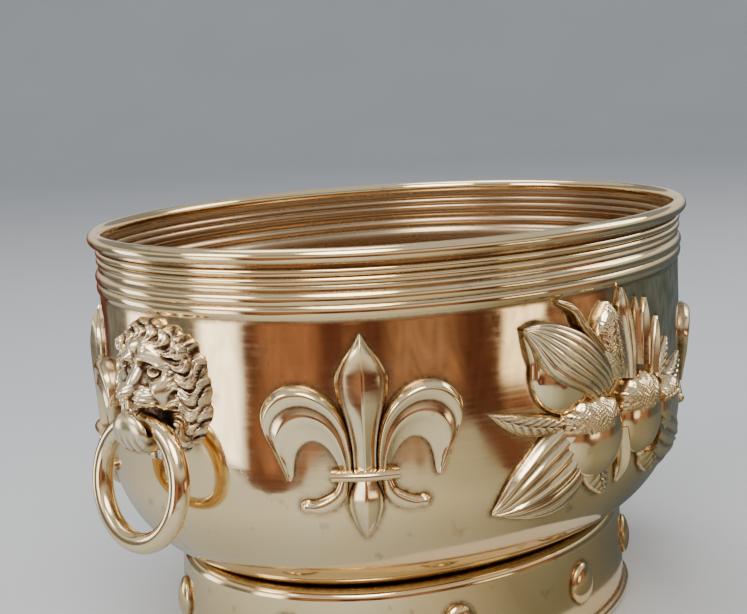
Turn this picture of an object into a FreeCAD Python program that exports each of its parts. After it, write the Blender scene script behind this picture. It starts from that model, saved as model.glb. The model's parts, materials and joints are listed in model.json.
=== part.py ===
"""Oval brass planter pot on a foot band, with two lion-mask ring handles.

Millimetres, +Z up, +X along the long axis. The origin is the centre of the foot's
standing face. The pot's plan is a four-centre oval, so every wall, rim and foot is one
profile carried round four arcs. A profile point is (inset, height): inset is how far it
stands inside the oval that passes round the outside of the rim.
"""
import math
import os

import FreeCAD
import Part

# ---- driving dimensions -------------------------------------------------------------
HALF_LENGTH = 150.0          # rim, centre to end
HALF_WIDTH = 125.0           # rim, centre to side
END_RADIUS = 115.0           # plan radius of the two ends
POT_HEIGHT = 192.0
SHEET = 1.2                  # thickness of the brass sheet

RIM_BEAD_RADIUS = 3.2        # sheet rolled over the rim wire
RIM_WIRE_RADIUS = 1.9
WIRE_GAP = 0.05              # room round a wire inside its roll

NECK_INSET = 4.4             # upright neck between the rim bead and the reeds
COLLAR_DEPTH = 7.6           # first reed starts this far below the rim
COLLAR_REEDS = (             # depth where each reed ends, inset of its edge, rise
    (11.2, 4.4, 1.3),
    (14.6, 4.4, 1.2),
    (17.0, 4.0, 0.2),
    (22.4, 3.6, 1.3),
    (27.4, 3.8, 0.9),
)
COLLAR_TAIL = 0.8            # short slope from the last reed to the plain wall

WALL_INSET = 4.0             # plain wall, inside the rim's outer edge
ROUND_START = 97.0           # height where the wall starts to round in
ROUND_RADIUS = 56.0
ROUND_MIDDLE = 20.0          # inset of a point part of the way round that curve
SEAT_HEIGHT = 44.4           # underside of the wall's turned-in seat
SEAT_INSET = 46.0            # inner edge of the seat

FOOT_INSET = 33.2            # foot band at its shoulder
FOOT_FLARE = 1.6             # how much wider the foot is just above its bead
SHOULDER_RADIUS = 5.0
FOOT_BEAD_RADIUS = 2.6
FOOT_BEAD_FLAT = 0.5         # ground off the bead so that the pot stands level
FOOT_WIRE_RADIUS = 1.2
BOSS_COUNT = 9
BOSS_START = 0.77           # first boss, as a fraction of the way round from +X
BOSS_RADIUS = 12.0           # sphere that each foot boss is part of
BOSS_RISE = 3.6              # how far a boss stands out of the band
BOSS_HEIGHT = 24.0

RING_RADIUS = 24.7           # centreline of the ring handle
RING_WIRE = 4.3              # radius of the ring's round bar
RING_LEAN = 8.4              # degrees, held off the wall by the lion's beard
RING_SWING = 92.0            # degrees, from the beard up to under the nose
MOUTH_RADIUS = 6.2           # passage that the ring hangs in
MOUTH_WIDTH = 24.0

HINGE_PROUD = 9.5            # ring's axis, out from the wall
HINGE_HEIGHT = 122.0
MASK_MIDDLE = 134.0          # height of the mask's middle
MANE_RADIUS = 28.0           # round mane, where it meets the wall
MANE_PROUD = 8.0
FACE_RADIUS = 14.5
FACE_RISE = 5.0
NOSE_RADIUS = 7.0
NOSE_PROUD = 22.5            # tip of the nose, out from the wall
NOSE_RISE = 2.0
JAW_RADIUS = 8.5
JAW_PROUD = 18.0             # front of the jaw, out from the wall
JAW_DROP = 15.0              # jaw's middle, below the mask's middle
HOLLOW_RADIUS = 11.0
HOLLOW_SUNK = 1.0
HOLLOW_RISE = 7.0

STUD_RADIUS = 2.0
STUD_SPREAD = 7.0            # degrees of the end arc, each side of the seam
STUD_RISE = 10.0             # above the mask's middle
STUD_GRIP = 4.0              # length held in the mask
STUD_HOLE_GAP = 0.2
WASHER_RADIUS = 4.6
WASHER_THICK = 0.8
NUT_ACROSS = 7.0
NUT_THICK = 3.0
STUD_TAIL = 1.5              # thread showing past the nut
SEAT_SLACK = 0.12            # flat washer against the hollow side of the curved wall

# ---- worked out from them -----------------------------------------------------------
END_CENTRE = HALF_LENGTH - END_RADIUS
SIDE_RADIUS = (HALF_LENGTH ** 2 + HALF_WIDTH ** 2 - 2 * HALF_LENGTH * END_RADIUS) / (
    2 * (HALF_WIDTH - END_RADIUS))
SIDE_CENTRE = SIDE_RADIUS - HALF_WIDTH
END_SWEEP = math.degrees(math.atan2(SIDE_CENTRE, END_CENTRE))
WALL_X = HALF_LENGTH - WALL_INSET
WALL_END_RADIUS = END_RADIUS - WALL_INSET
HINGE_X = WALL_X + HINGE_PROUD
FLOOR_BASE = SEAT_HEIGHT + SHEET
UP = FreeCAD.Vector(0, 0, 1)
ORIGIN = FreeCAD.Vector(0, 0, 0)


# ---- profile drawing: every point is (inset, height) ---------------------------------
def at(inset, height):
    """A profile point as a vector, with -inset along X so that outwards is +X."""
    return FreeCAD.Vector(-inset, 0, height)


def line(start, end):
    """Straight edge between two profile points."""
    return Part.LineSegment(at(*start), at(*end)).toShape()


def arc(start, middle, end):
    """Round edge through three profile points."""
    return Part.Arc(at(*start), at(*middle), at(*end)).toShape()


def bulge(start, end, rise):
    """Round edge from start to end whose middle stands `rise` further out."""
    middle = ((start[0] + end[0]) / 2 - rise, (start[1] + end[1]) / 2)
    return arc(start, middle, end)


def disc(centre, radius):
    """Round profile face."""
    edge = Part.Circle(at(*centre), FreeCAD.Vector(0, 1, 0), radius).toShape()
    return Part.Face(Part.Wire([edge]))


def sweep_arc(face, radius, centre, start, angle):
    """Turn a profile round one plan arc of the oval."""
    placed = face.copy()
    placed.translate(FreeCAD.Vector(radius, 0, 0))
    placed.rotate(ORIGIN, UP, start)
    solid = placed.revolve(ORIGIN, UP, angle)
    solid.translate(FreeCAD.Vector(centre[0], centre[1], 0))
    return solid


def half_oval(face, front):
    """Carry a profile round the front (-Y) or back (+Y) half of the oval."""
    turn = 180.0 if front else 0.0
    side = 1.0 if front else -1.0
    side_sweep = 180.0 - 2 * END_SWEEP
    pieces = [
        sweep_arc(face, END_RADIUS, (-side * END_CENTRE, 0), turn, END_SWEEP),
        sweep_arc(face, SIDE_RADIUS, (0, side * SIDE_CENTRE), turn + END_SWEEP, side_sweep),
        sweep_arc(face, END_RADIUS, (side * END_CENTRE, 0), turn + 180 - END_SWEEP, END_SWEEP),
    ]
    return pieces[0].fuse(pieces[1:]).removeSplitter()


def full_oval(face):
    """Carry a profile round the whole oval."""
    return half_oval(face, True).fuse(half_oval(face, False)).removeSplitter()


def oval_plate(inset, base, thick):
    """Flat oval plate."""
    end_r = END_RADIUS - inset
    side_r = SIDE_RADIUS - inset
    angle = math.radians(END_SWEEP)
    edges = []
    for sx, sy in ((1, 1), (-1, 1), (-1, -1), (1, -1)):
        corner = FreeCAD.Vector(
            sx * (END_CENTRE + end_r * math.cos(angle)), sy * end_r * math.sin(angle), base)
        end = FreeCAD.Vector(sx * (END_CENTRE + end_r), 0, base)
        top = FreeCAD.Vector(0, sy * (side_r - SIDE_CENTRE), base)
        half = angle / 2
        end_mid = FreeCAD.Vector(
            sx * (END_CENTRE + end_r * math.cos(half)), sy * end_r * math.sin(half), base)
        lean = (angle + math.pi / 2) / 2
        side_mid = FreeCAD.Vector(
            sx * side_r * math.cos(lean), sy * (side_r * math.sin(lean) - SIDE_CENTRE), base)
        edges.append(Part.Arc(end, end_mid, corner).toShape())
        edges.append(Part.Arc(corner, side_mid, top).toShape())
    outline = Part.Wire(Part.__sortEdges__(edges))
    return Part.Face(outline).extrude(FreeCAD.Vector(0, 0, thick))


# ---- body ----------------------------------------------------------------------------
def round_height(inset, radius):
    """Height of the rounded-in wall at an inset, for its outer or inner radius."""
    reach = WALL_INSET + ROUND_RADIUS - inset
    return ROUND_START - math.sqrt(radius ** 2 - reach ** 2)


def round_inset(height, radius):
    """Inset of the rounded-in wall at a height, for its outer or inner radius."""
    drop = ROUND_START - height
    return WALL_INSET + ROUND_RADIUS - math.sqrt(radius ** 2 - drop ** 2)


def collar_edges(offset):
    """Reeded collar from under the rim bead down to the plain wall.

    The reeds are rolled into the sheet, so its inner side repeats them at `offset`.
    """
    top = (NECK_INSET + offset, POT_HEIGHT - COLLAR_DEPTH)
    start = top
    edges = []
    for end_depth, edge_inset, rise in COLLAR_REEDS:
        end = (edge_inset + offset, POT_HEIGHT - end_depth)
        edges.append(bulge(start, end, rise))
        start = end
    foot_of_collar = (WALL_INSET + offset, start[1] - COLLAR_TAIL)
    edges.append(line(start, foot_of_collar))
    return edges, top, foot_of_collar


def wall_profile():
    """Sheet from the rolled rim down to the seat that the floor plate lies on."""
    outer, outer_top, outer_foot = collar_edges(0.0)
    inner, inner_top, inner_foot = collar_edges(SHEET)
    inner_radius = ROUND_RADIUS - SHEET
    outer_end = (round_inset(SEAT_HEIGHT, ROUND_RADIUS), SEAT_HEIGHT)
    inner_end = (round_inset(FLOOR_BASE, inner_radius), FLOOR_BASE)
    outer_middle = (ROUND_MIDDLE, round_height(ROUND_MIDDLE, ROUND_RADIUS))
    inner_middle = (ROUND_MIDDLE, round_height(ROUND_MIDDLE, inner_radius))
    outer_start = (WALL_INSET, ROUND_START)
    inner_start = (WALL_INSET + SHEET, ROUND_START)
    edges = list(outer)
    edges.append(line(outer_foot, outer_start))
    edges.append(arc(outer_start, outer_middle, outer_end))
    edges.append(line(outer_end, (SEAT_INSET, SEAT_HEIGHT)))
    edges.append(line((SEAT_INSET, SEAT_HEIGHT), (SEAT_INSET, FLOOR_BASE)))
    edges.append(line((SEAT_INSET, FLOOR_BASE), inner_end))
    edges.append(arc(inner_end, inner_middle, inner_start))
    edges.append(line(inner_start, inner_foot))
    edges.extend(inner)
    neck_height = POT_HEIGHT - RIM_BEAD_RADIUS
    neck_outer = (outer_top[0], neck_height)
    neck_inner = (inner_top[0], neck_height)
    edges.append(line(inner_top, neck_inner))
    edges.append(line(neck_inner, neck_outer))
    edges.append(line(neck_outer, outer_top))
    strip = Part.Face(Part.Wire(Part.__sortEdges__(edges)))
    centre = (RIM_BEAD_RADIUS, neck_height)
    rolled = strip.fuse(disc(centre, RIM_BEAD_RADIUS)).removeSplitter()
    return rolled.cut(disc(centre, RIM_WIRE_RADIUS + WIRE_GAP)).Faces[0]


def stud_axis(side, hand):
    """Angle of one stud about its end arc's centre; hand is -1 or 1 along Y."""
    return (180.0 if side < 0 else 0.0) + side * hand * STUD_SPREAD


def along_stud(side, hand, start, radius, length):
    """Round bar along a stud, starting `start` from the end arc's centre."""
    height = MASK_MIDDLE + STUD_RISE
    bar = Part.makeCylinder(radius, length, FreeCAD.Vector(start, 0, height), FreeCAD.Vector(1, 0, 0))
    bar.rotate(ORIGIN, UP, stud_axis(side, hand))
    bar.translate(FreeCAD.Vector(side * END_CENTRE, 0, 0))
    return bar


def pair(side, start, radius, length):
    """The same round bar at both studs of one mask."""
    return [along_stud(side, hand, start, radius, length) for hand in (-1, 1)]


def wall_half(front):
    """One half of the body sheet, drilled for the mask studs."""
    shell = half_oval(wall_profile(), front)
    hand = -1 if front else 1
    start = WALL_END_RADIUS - 3 * SHEET
    for side in (-1, 1):
        hole = along_stud(side, hand, start, STUD_RADIUS + STUD_HOLE_GAP, 5 * SHEET)
        shell = shell.cut(hole)
    return shell


# ---- foot ----------------------------------------------------------------------------
def foot_bead_centre():
    """Profile point at the middle of the foot's wired bottom edge."""
    return FOOT_INSET - FOOT_FLARE, FOOT_BEAD_RADIUS - FOOT_BEAD_FLAT


def foot_profile():
    """Foot sheet: seat under the wall, round shoulder, flared band, wired bottom edge."""
    seat_outer = FOOT_INSET + SHOULDER_RADIUS
    shoulder = SEAT_HEIGHT - SHOULDER_RADIUS
    corner = SHOULDER_RADIUS * math.sqrt(0.5)
    inner_corner = (SHOULDER_RADIUS - SHEET) * math.sqrt(0.5)
    low_inset, bead_height = foot_bead_centre()
    edges = [
        line((SEAT_INSET, SEAT_HEIGHT), (seat_outer, SEAT_HEIGHT)),
        arc((seat_outer, SEAT_HEIGHT), (seat_outer - corner, shoulder + corner), (FOOT_INSET, shoulder)),
        line((FOOT_INSET, shoulder), (low_inset, bead_height)),
        line((low_inset, bead_height), (low_inset + SHEET, bead_height)),
        line((low_inset + SHEET, bead_height), (FOOT_INSET + SHEET, shoulder)),
        arc((FOOT_INSET + SHEET, shoulder), (seat_outer - inner_corner, shoulder + inner_corner),
            (seat_outer, SEAT_HEIGHT - SHEET)),
        line((seat_outer, SEAT_HEIGHT - SHEET), (SEAT_INSET, SEAT_HEIGHT - SHEET)),
        line((SEAT_INSET, SEAT_HEIGHT - SHEET), (SEAT_INSET, SEAT_HEIGHT)),
    ]
    band = Part.Face(Part.Wire(Part.__sortEdges__(edges)))
    centre = foot_bead_centre()
    rolled = band.fuse(disc(centre, FOOT_BEAD_RADIUS)).removeSplitter()
    return rolled.cut(disc(centre, FOOT_WIRE_RADIUS + WIRE_GAP)).Faces[0]


def oval_station(fraction, inset):
    """Point and outward angle (degrees) at a fraction of the way round the oval."""
    end_r = END_RADIUS - inset
    side_r = SIDE_RADIUS - inset
    end_arc = math.radians(END_SWEEP) * end_r
    side_arc = math.radians(90 - END_SWEEP) * side_r
    quarter, part = divmod(fraction * 4, 1)
    odd = quarter % 2 == 1
    distance = (1 - part if odd else part) * (end_arc + side_arc)
    if distance < end_arc:
        angle = distance / end_r
        x = END_CENTRE + end_r * math.cos(angle)
        y = end_r * math.sin(angle)
    else:
        angle = math.radians(END_SWEEP) + (distance - end_arc) / side_r
        x = side_r * math.cos(angle)
        y = side_r * math.sin(angle) - SIDE_CENTRE
    sx = -1 if quarter in (1, 2) else 1
    sy = -1 if quarter >= 2 else 1
    outward = math.degrees(math.atan2(sy * math.sin(angle), sx * math.cos(angle)))
    return FreeCAD.Vector(sx * x, sy * y, 0), outward


def boss(fraction):
    """Round cap of one foot boss, with its flat side buried in the band."""
    bite = SHEET / 2
    middle_inset = FOOT_INSET - FOOT_FLARE * (1 - BOSS_HEIGHT / (SEAT_HEIGHT - SHOULDER_RADIUS))
    point, outward = oval_station(fraction, middle_inset + BOSS_RADIUS - BOSS_RISE)
    point.z = BOSS_HEIGHT
    ball = Part.makeSphere(BOSS_RADIUS, point)
    face_point = oval_station(fraction, middle_inset + bite)[0]
    keep = Part.makeBox(2 * BOSS_RADIUS, 4 * BOSS_RADIUS, 4 * BOSS_RADIUS,
                        FreeCAD.Vector(0, -2 * BOSS_RADIUS, -2 * BOSS_RADIUS))
    keep.rotate(ORIGIN, UP, outward)
    keep.translate(FreeCAD.Vector(face_point.x, face_point.y, BOSS_HEIGHT))
    return ball.common(keep)


def foot_band():
    """Foot sheet with its ring of bosses, ground flat underneath."""
    band = full_oval(foot_profile())
    bosses = [boss((BOSS_START + index / BOSS_COUNT) % 1) for index in range(BOSS_COUNT)]
    band = band.fuse(bosses)
    block = Part.makeBox(4 * HALF_LENGTH, 4 * HALF_WIDTH, 4 * FOOT_BEAD_RADIUS,
                         FreeCAD.Vector(-2 * HALF_LENGTH, -2 * HALF_WIDTH, -4 * FOOT_BEAD_RADIUS))
    return band.cut(block)


# ---- lion masks and ring handles, drawn at the +X end --------------------------------
def ball(radius, proud, rise):
    """Sphere whose front stands `proud` of the wall, `rise` above the mask's middle."""
    centre = FreeCAD.Vector(WALL_X + proud - radius, 0, MASK_MIDDLE + rise)
    return Part.makeSphere(radius, centre)


def ring(radius, lean):
    """Ring bar of a given radius, hanging from the hinge and leaning out by `lean`."""
    angle = math.radians(lean)
    centre = FreeCAD.Vector(HINGE_X + RING_RADIUS * math.sin(angle), 0,
                            HINGE_HEIGHT - RING_RADIUS * math.cos(angle))
    axle = FreeCAD.Vector(math.cos(angle), 0, math.sin(angle))
    return Part.makeTorus(RING_RADIUS, radius, centre, axle)


def mask():
    """Cast lion mask: mane, face, nose and jaw, hollow behind the brow."""
    mane_radius = (MANE_RADIUS ** 2 + MANE_PROUD ** 2) / (2 * MANE_PROUD)
    solid = ball(mane_radius, MANE_PROUD, 0)
    parts = [
        ball(FACE_RADIUS, FACE_RADIUS, FACE_RISE),
        ball(NOSE_RADIUS, NOSE_PROUD, NOSE_RISE),
        ball(JAW_RADIUS, JAW_PROUD, -JAW_DROP),
    ]
    solid = solid.fuse(parts)
    solid = solid.cut(ball(HOLLOW_RADIUS, HOLLOW_RADIUS - HOLLOW_SUNK, HOLLOW_RISE))
    body = Part.makeCylinder(WALL_END_RADIUS, POT_HEIGHT, FreeCAD.Vector(END_CENTRE, 0, 0))
    solid = solid.cut(body)
    solid = solid.cut(pair(1, WALL_END_RADIUS - SHEET, STUD_RADIUS, SHEET + STUD_GRIP))
    mouth = Part.makeCylinder(MOUTH_RADIUS, MOUTH_WIDTH,
                              FreeCAD.Vector(HINGE_X, -MOUTH_WIDTH / 2, HINGE_HEIGHT),
                              FreeCAD.Vector(0, 1, 0))
    return max(solid.cut(mouth).Solids, key=lambda piece: piece.Volume)


def nut(hand):
    """Square nut drawn up on one stud inside the pot."""
    outer = WALL_END_RADIUS - SHEET - SEAT_SLACK - WASHER_THICK
    half = NUT_ACROSS / 2
    block = Part.makeBox(NUT_THICK, NUT_ACROSS, NUT_ACROSS,
                         FreeCAD.Vector(outer - NUT_THICK, -half, MASK_MIDDLE + STUD_RISE - half))
    block.rotate(ORIGIN, UP, stud_axis(1, hand))
    block.translate(FreeCAD.Vector(END_CENTRE, 0, 0))
    return block.cut(along_stud(1, hand, outer - 2 * NUT_THICK, STUD_RADIUS, 4 * NUT_THICK))


def stud_length():
    """Whole length of a stud, from its tail inside the pot to its end in the mask."""
    return STUD_TAIL + NUT_THICK + WASHER_THICK + SEAT_SLACK + SHEET + STUD_GRIP


def washers():
    """Two washers under the nuts."""
    start = WALL_END_RADIUS - SHEET - SEAT_SLACK - WASHER_THICK
    discs = pair(1, start, WASHER_RADIUS, WASHER_THICK)
    holes = pair(1, start, STUD_RADIUS + STUD_HOLE_GAP, WASHER_THICK)
    return Part.makeCompound([whole.cut(hole) for whole, hole in zip(discs, holes)])


def handle_set():
    """Every piece of one handle, at the +X end, by name."""
    studs = pair(1, WALL_END_RADIUS + STUD_GRIP - stud_length(), STUD_RADIUS, stud_length())
    return {
        "mask": mask(),
        "ring": ring(RING_WIRE, RING_LEAN),
        "mask_studs": Part.makeCompound(studs),
        "mask_washers": washers(),
        "mask_nuts": Part.makeCompound([nut(hand) for hand in (-1, 1)]),
    }


def build():
    """All the pot's pieces by node name."""
    rim_centre = (RIM_BEAD_RADIUS, POT_HEIGHT - RIM_BEAD_RADIUS)
    pieces = {
        "front_wall": wall_half(True),
        "back_wall": wall_half(False),
        "rim_wire": full_oval(disc(rim_centre, RIM_WIRE_RADIUS)),
        "floor_plate": oval_plate(round_inset(FLOOR_BASE, ROUND_RADIUS - SHEET), FLOOR_BASE, SHEET),
        "foot_band": foot_band(),
        "foot_wire": full_oval(disc(foot_bead_centre(), FOOT_WIRE_RADIUS)),
    }
    for name, shape in handle_set().items():
        pieces["right_" + name] = shape
        pieces["left_" + name] = shape.mirror(ORIGIN, FreeCAD.Vector(1, 0, 0))
    return pieces


os.makedirs("parts", exist_ok=True)
for node, shape in build().items():
    shape.exportStep("parts/" + node + ".step")
    print(node, "valid" if shape.isValid() else "BROKEN", len(shape.Solids), round(shape.Volume, 1))
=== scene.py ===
"""Looks of the oval brass planter pot with two lion-mask ring handles.

Every surface is worked out in millimetres and written to its mesh in metres. The pot's
plan is a four-centre oval. `along` is the distance round it from the middle of the
front (-Y), positive towards +X, and `proud` is how far a point stands off the surface.
"""
import json
import logging
import math
from collections.abc import Callable
from dataclasses import dataclass, field
from enum import Enum

import bmesh
import bpy
import numpy as np
from mathutils import Matrix, Vector


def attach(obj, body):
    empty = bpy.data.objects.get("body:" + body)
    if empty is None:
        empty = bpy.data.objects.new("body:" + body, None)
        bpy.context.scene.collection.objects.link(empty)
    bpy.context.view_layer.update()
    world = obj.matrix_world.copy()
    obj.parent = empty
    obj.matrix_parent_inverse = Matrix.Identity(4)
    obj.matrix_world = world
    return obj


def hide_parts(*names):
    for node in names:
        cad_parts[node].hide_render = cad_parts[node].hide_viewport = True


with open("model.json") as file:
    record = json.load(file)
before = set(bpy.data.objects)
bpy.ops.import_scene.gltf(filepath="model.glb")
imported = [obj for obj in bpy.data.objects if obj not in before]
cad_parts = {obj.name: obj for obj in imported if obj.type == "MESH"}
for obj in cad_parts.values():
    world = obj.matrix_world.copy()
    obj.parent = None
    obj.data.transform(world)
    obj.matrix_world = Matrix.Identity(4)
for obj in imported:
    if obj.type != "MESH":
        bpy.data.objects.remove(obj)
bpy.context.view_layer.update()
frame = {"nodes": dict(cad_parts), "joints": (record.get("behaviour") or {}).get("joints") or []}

LOG = logging.getLogger("planter_pot")
MM = 0.001
SUNK = 0.6                  # how deep a raised piece's underside sits in the sheet
Array = np.ndarray
Placer = Callable[[Array, Array, Array], Array]
Knots = tuple[tuple[float, float], ...]


# ---- surfaces ------------------------------------------------------------------------
def smooth_curve(knots: Array, count: int) -> Array:
    """Curve through the knots.

    Between two knots it is the cubic that leaves and meets them with half the chord of
    their neighbours as its slope.

    Args:
        knots: one row per knot.
        count: how many points to give back.

    Returns:
        `count` rows, evenly stepped from the first knot to the last.
    """
    spans = len(knots) - 1
    step = np.linspace(0, spans, count)
    span = np.clip(step.astype(int), 0, spans - 1)
    part = (step - span)[:, None]
    ends = np.vstack([2 * knots[0] - knots[1], knots, 2 * knots[-1] - knots[-2]])
    a, b, c, d = (ends[span + shift] for shift in range(4))
    return 0.5 * (2 * b + (c - a) * part + (2 * a - 5 * b + 4 * c - d) * part ** 2
                  + (3 * b - a - 3 * c + d) * part ** 3)


def bell(distance: Array, width: float) -> Array:
    """Bell curve: one at zero, falling as exp(-(distance / width) squared)."""
    return np.exp(-(distance / width) ** 2)


def ease(value: Array, low: float, high: float) -> Array:
    """Smooth step from 0 at low to 1 at high: 3t^2 - 2t^3."""
    part = np.clip((value - low) / (high - low), 0, 1)
    return part * part * (3 - 2 * part)


def pits(x: Array, y: Array, size: float) -> Array:
    """Punched dimples: two crossed sine waves, bent by slower ones.

    Args:
        x: distance across in mm.
        y: distance up in mm.
        size: distance from dimple to dimple in mm.

    Returns:
        Depth from -1 to 1.
    """
    bent_x = x + 0.35 * size * np.sin(1.7 * y / size)
    bent_y = y + 0.35 * size * np.sin(1.3 * x / size + 0.8)
    turn = 2 * np.pi / size
    return np.sin(turn * bent_x) * np.sin(turn * bent_y + 0.6 * np.sin(turn * bent_x / 3))


@dataclass
class Skin:
    """Grid of points, rows by columns by xyz in mm, with tones from 0 to 1 on them."""

    points: Array
    wrap_rows: bool = False
    wrap_columns: bool = False
    cap_rows: bool = False
    shade_and_tarnish: Array | float = 0.0
    inside: Array | float = 0.0

    def faces(self, first: int) -> list[list[int]]:
        """Quads of the grid, and a cap over each end loop where asked.

        Args:
            first: number of the skin's first vertex in the mesh.

        Returns:
            Faces as lists of vertex numbers.
        """
        rows, columns = self.points.shape[:2]
        index = np.arange(rows * columns).reshape(rows, columns) + first
        grid = np.vstack([index, index[:1]]) if self.wrap_rows else index
        grid = np.hstack([grid, grid[:, :1]]) if self.wrap_columns else grid
        quads = np.stack([grid[:-1, :-1], grid[:-1, 1:], grid[1:, 1:], grid[1:, :-1]], -1)
        faces = quads.reshape(-1, 4).tolist()
        if self.cap_rows:
            faces += [index[0][::-1].tolist(), index[-1].tolist()]
        return faces

    def tone(self, name: str) -> Array:
        """One tone as a flat array with a value for every point."""
        return np.broadcast_to(getattr(self, name), self.points.shape[:2]).reshape(-1)


def make_piece(name: str, skins: list[Skin], crease: float = 42.0) -> bpy.types.Object:
    """Join skins into one object whose closed shells face outwards.

    Args:
        name: the object's name.
        skins: the grids that it is made of.
        crease: edges that turn by more than this many degrees stay sharp.

    Returns:
        The new object, at the origin, in metres.
    """
    points = np.concatenate([skin.points.reshape(-1, 3) for skin in skins]) * MM
    faces: list[list[int]] = []
    first = 0
    for skin in skins:
        faces += skin.faces(first)
        first += skin.points.shape[0] * skin.points.shape[1]
    mesh = bpy.data.meshes.new(name)
    mesh.from_pydata(points, [], faces)
    for tone in ("shade_and_tarnish", "inside"):
        values = np.concatenate([skin.tone(tone) for skin in skins]).astype(np.float32)
        mesh.attributes.new(tone, "FLOAT", "POINT").data.foreach_set("value", values)
    shell = bmesh.new()
    shell.from_mesh(mesh)
    bmesh.ops.remove_doubles(shell, verts=shell.verts, dist=1e-6)
    bmesh.ops.dissolve_degenerate(shell, edges=shell.edges, dist=1e-7)
    bmesh.ops.recalc_face_normals(shell, faces=shell.faces)
    shell.to_mesh(mesh)
    shell.free()
    mesh.polygons.foreach_set("use_smooth", np.ones(len(mesh.polygons), bool))
    mesh.set_sharp_from_angle(angle=math.radians(crease))
    piece = bpy.data.objects.new(name, mesh)
    bpy.context.scene.collection.objects.link(piece)
    return piece


def seat_piece(piece: bpy.types.Object, body: str,
               finish: "Finish", stands_for: tuple[str, ...] = ()) -> bpy.types.Object:
    """Give a piece its finish, its body and the CAD nodes that it stands for.

    Args:
        piece: the finished object.
        body: CAD body that it moves with.
        finish: the finish that it wears.
        stands_for: CAD nodes that it replaces.

    Returns:
        The same object.
    """
    piece.data.materials.append(finish.material())
    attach(piece, body)
    if stands_for:
        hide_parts(*stands_for)
    LOG.info("%s: %d faces on %s", piece.name, len(piece.data.polygons), body)
    return piece


# ---- finishes ------------------------------------------------------------------------
class Graph:
    """Node tree of one new material."""

    def __init__(self, name: str) -> None:
        """Start a material with only its output.

        Args:
            name: the material's name.
        """
        self.material = bpy.data.materials.new(name)
        self.material.use_nodes = True
        self.tree = self.material.node_tree
        self.tree.nodes.clear()
        self.output = self.tree.nodes.new("ShaderNodeOutputMaterial")

    def node(self, kind: str, inputs: dict[str | int, object] | None = None,
             **settings: object) -> bpy.types.Node:
        """Add a node.

        Args:
            kind: node type without its ShaderNode prefix.
            inputs: sockets by name or number; a socket as value is linked, others are set.
            settings: properties of the node itself.

        Returns:
            The new node.
        """
        made = self.tree.nodes.new("ShaderNode" + kind)
        for key, value in settings.items():
            setattr(made, key, value)
        for key, value in (inputs or {}).items():
            if isinstance(value, bpy.types.NodeSocket):
                self.tree.links.new(value, made.inputs[key])
            else:
                made.inputs[key].default_value = value
        return made

    def math(self, operation: str, a: object, b: object = 0.0) -> bpy.types.NodeSocket:
        """Result of a sum on two values or sockets."""
        return self.node("Math", {0: a, 1: b}, operation=operation).outputs[0]

    def blend(self, share: object, a: object, b: object) -> bpy.types.NodeSocket:
        """Colour that goes from a to b as share goes from 0 to 1."""
        mix = self.node("Mix", {0: share, 6: a, 7: b}, data_type="RGBA")
        return mix.outputs[2]

    def ramp(self, value: object, low: float, high: float,
             to_low: float = 0.0, to_high: float = 1.0) -> bpy.types.NodeSocket:
        """Value carried from low..high to to_low..to_high, and held at both ends."""
        return self.node("MapRange", {0: value, 1: low, 2: high, 3: to_low, 4: to_high}).outputs[0]

    def noise(self, place: object, scale: float, detail: float = 4.0,
              distortion: float = 0.0) -> bpy.types.NodeSocket:
        """Cloudy value from 0 to 1 with `scale` lumps to the metre."""
        return self.node("TexNoise", {"Vector": place, "Scale": scale, "Detail": detail,
                                      "Distortion": distortion}).outputs["Fac"]


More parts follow.
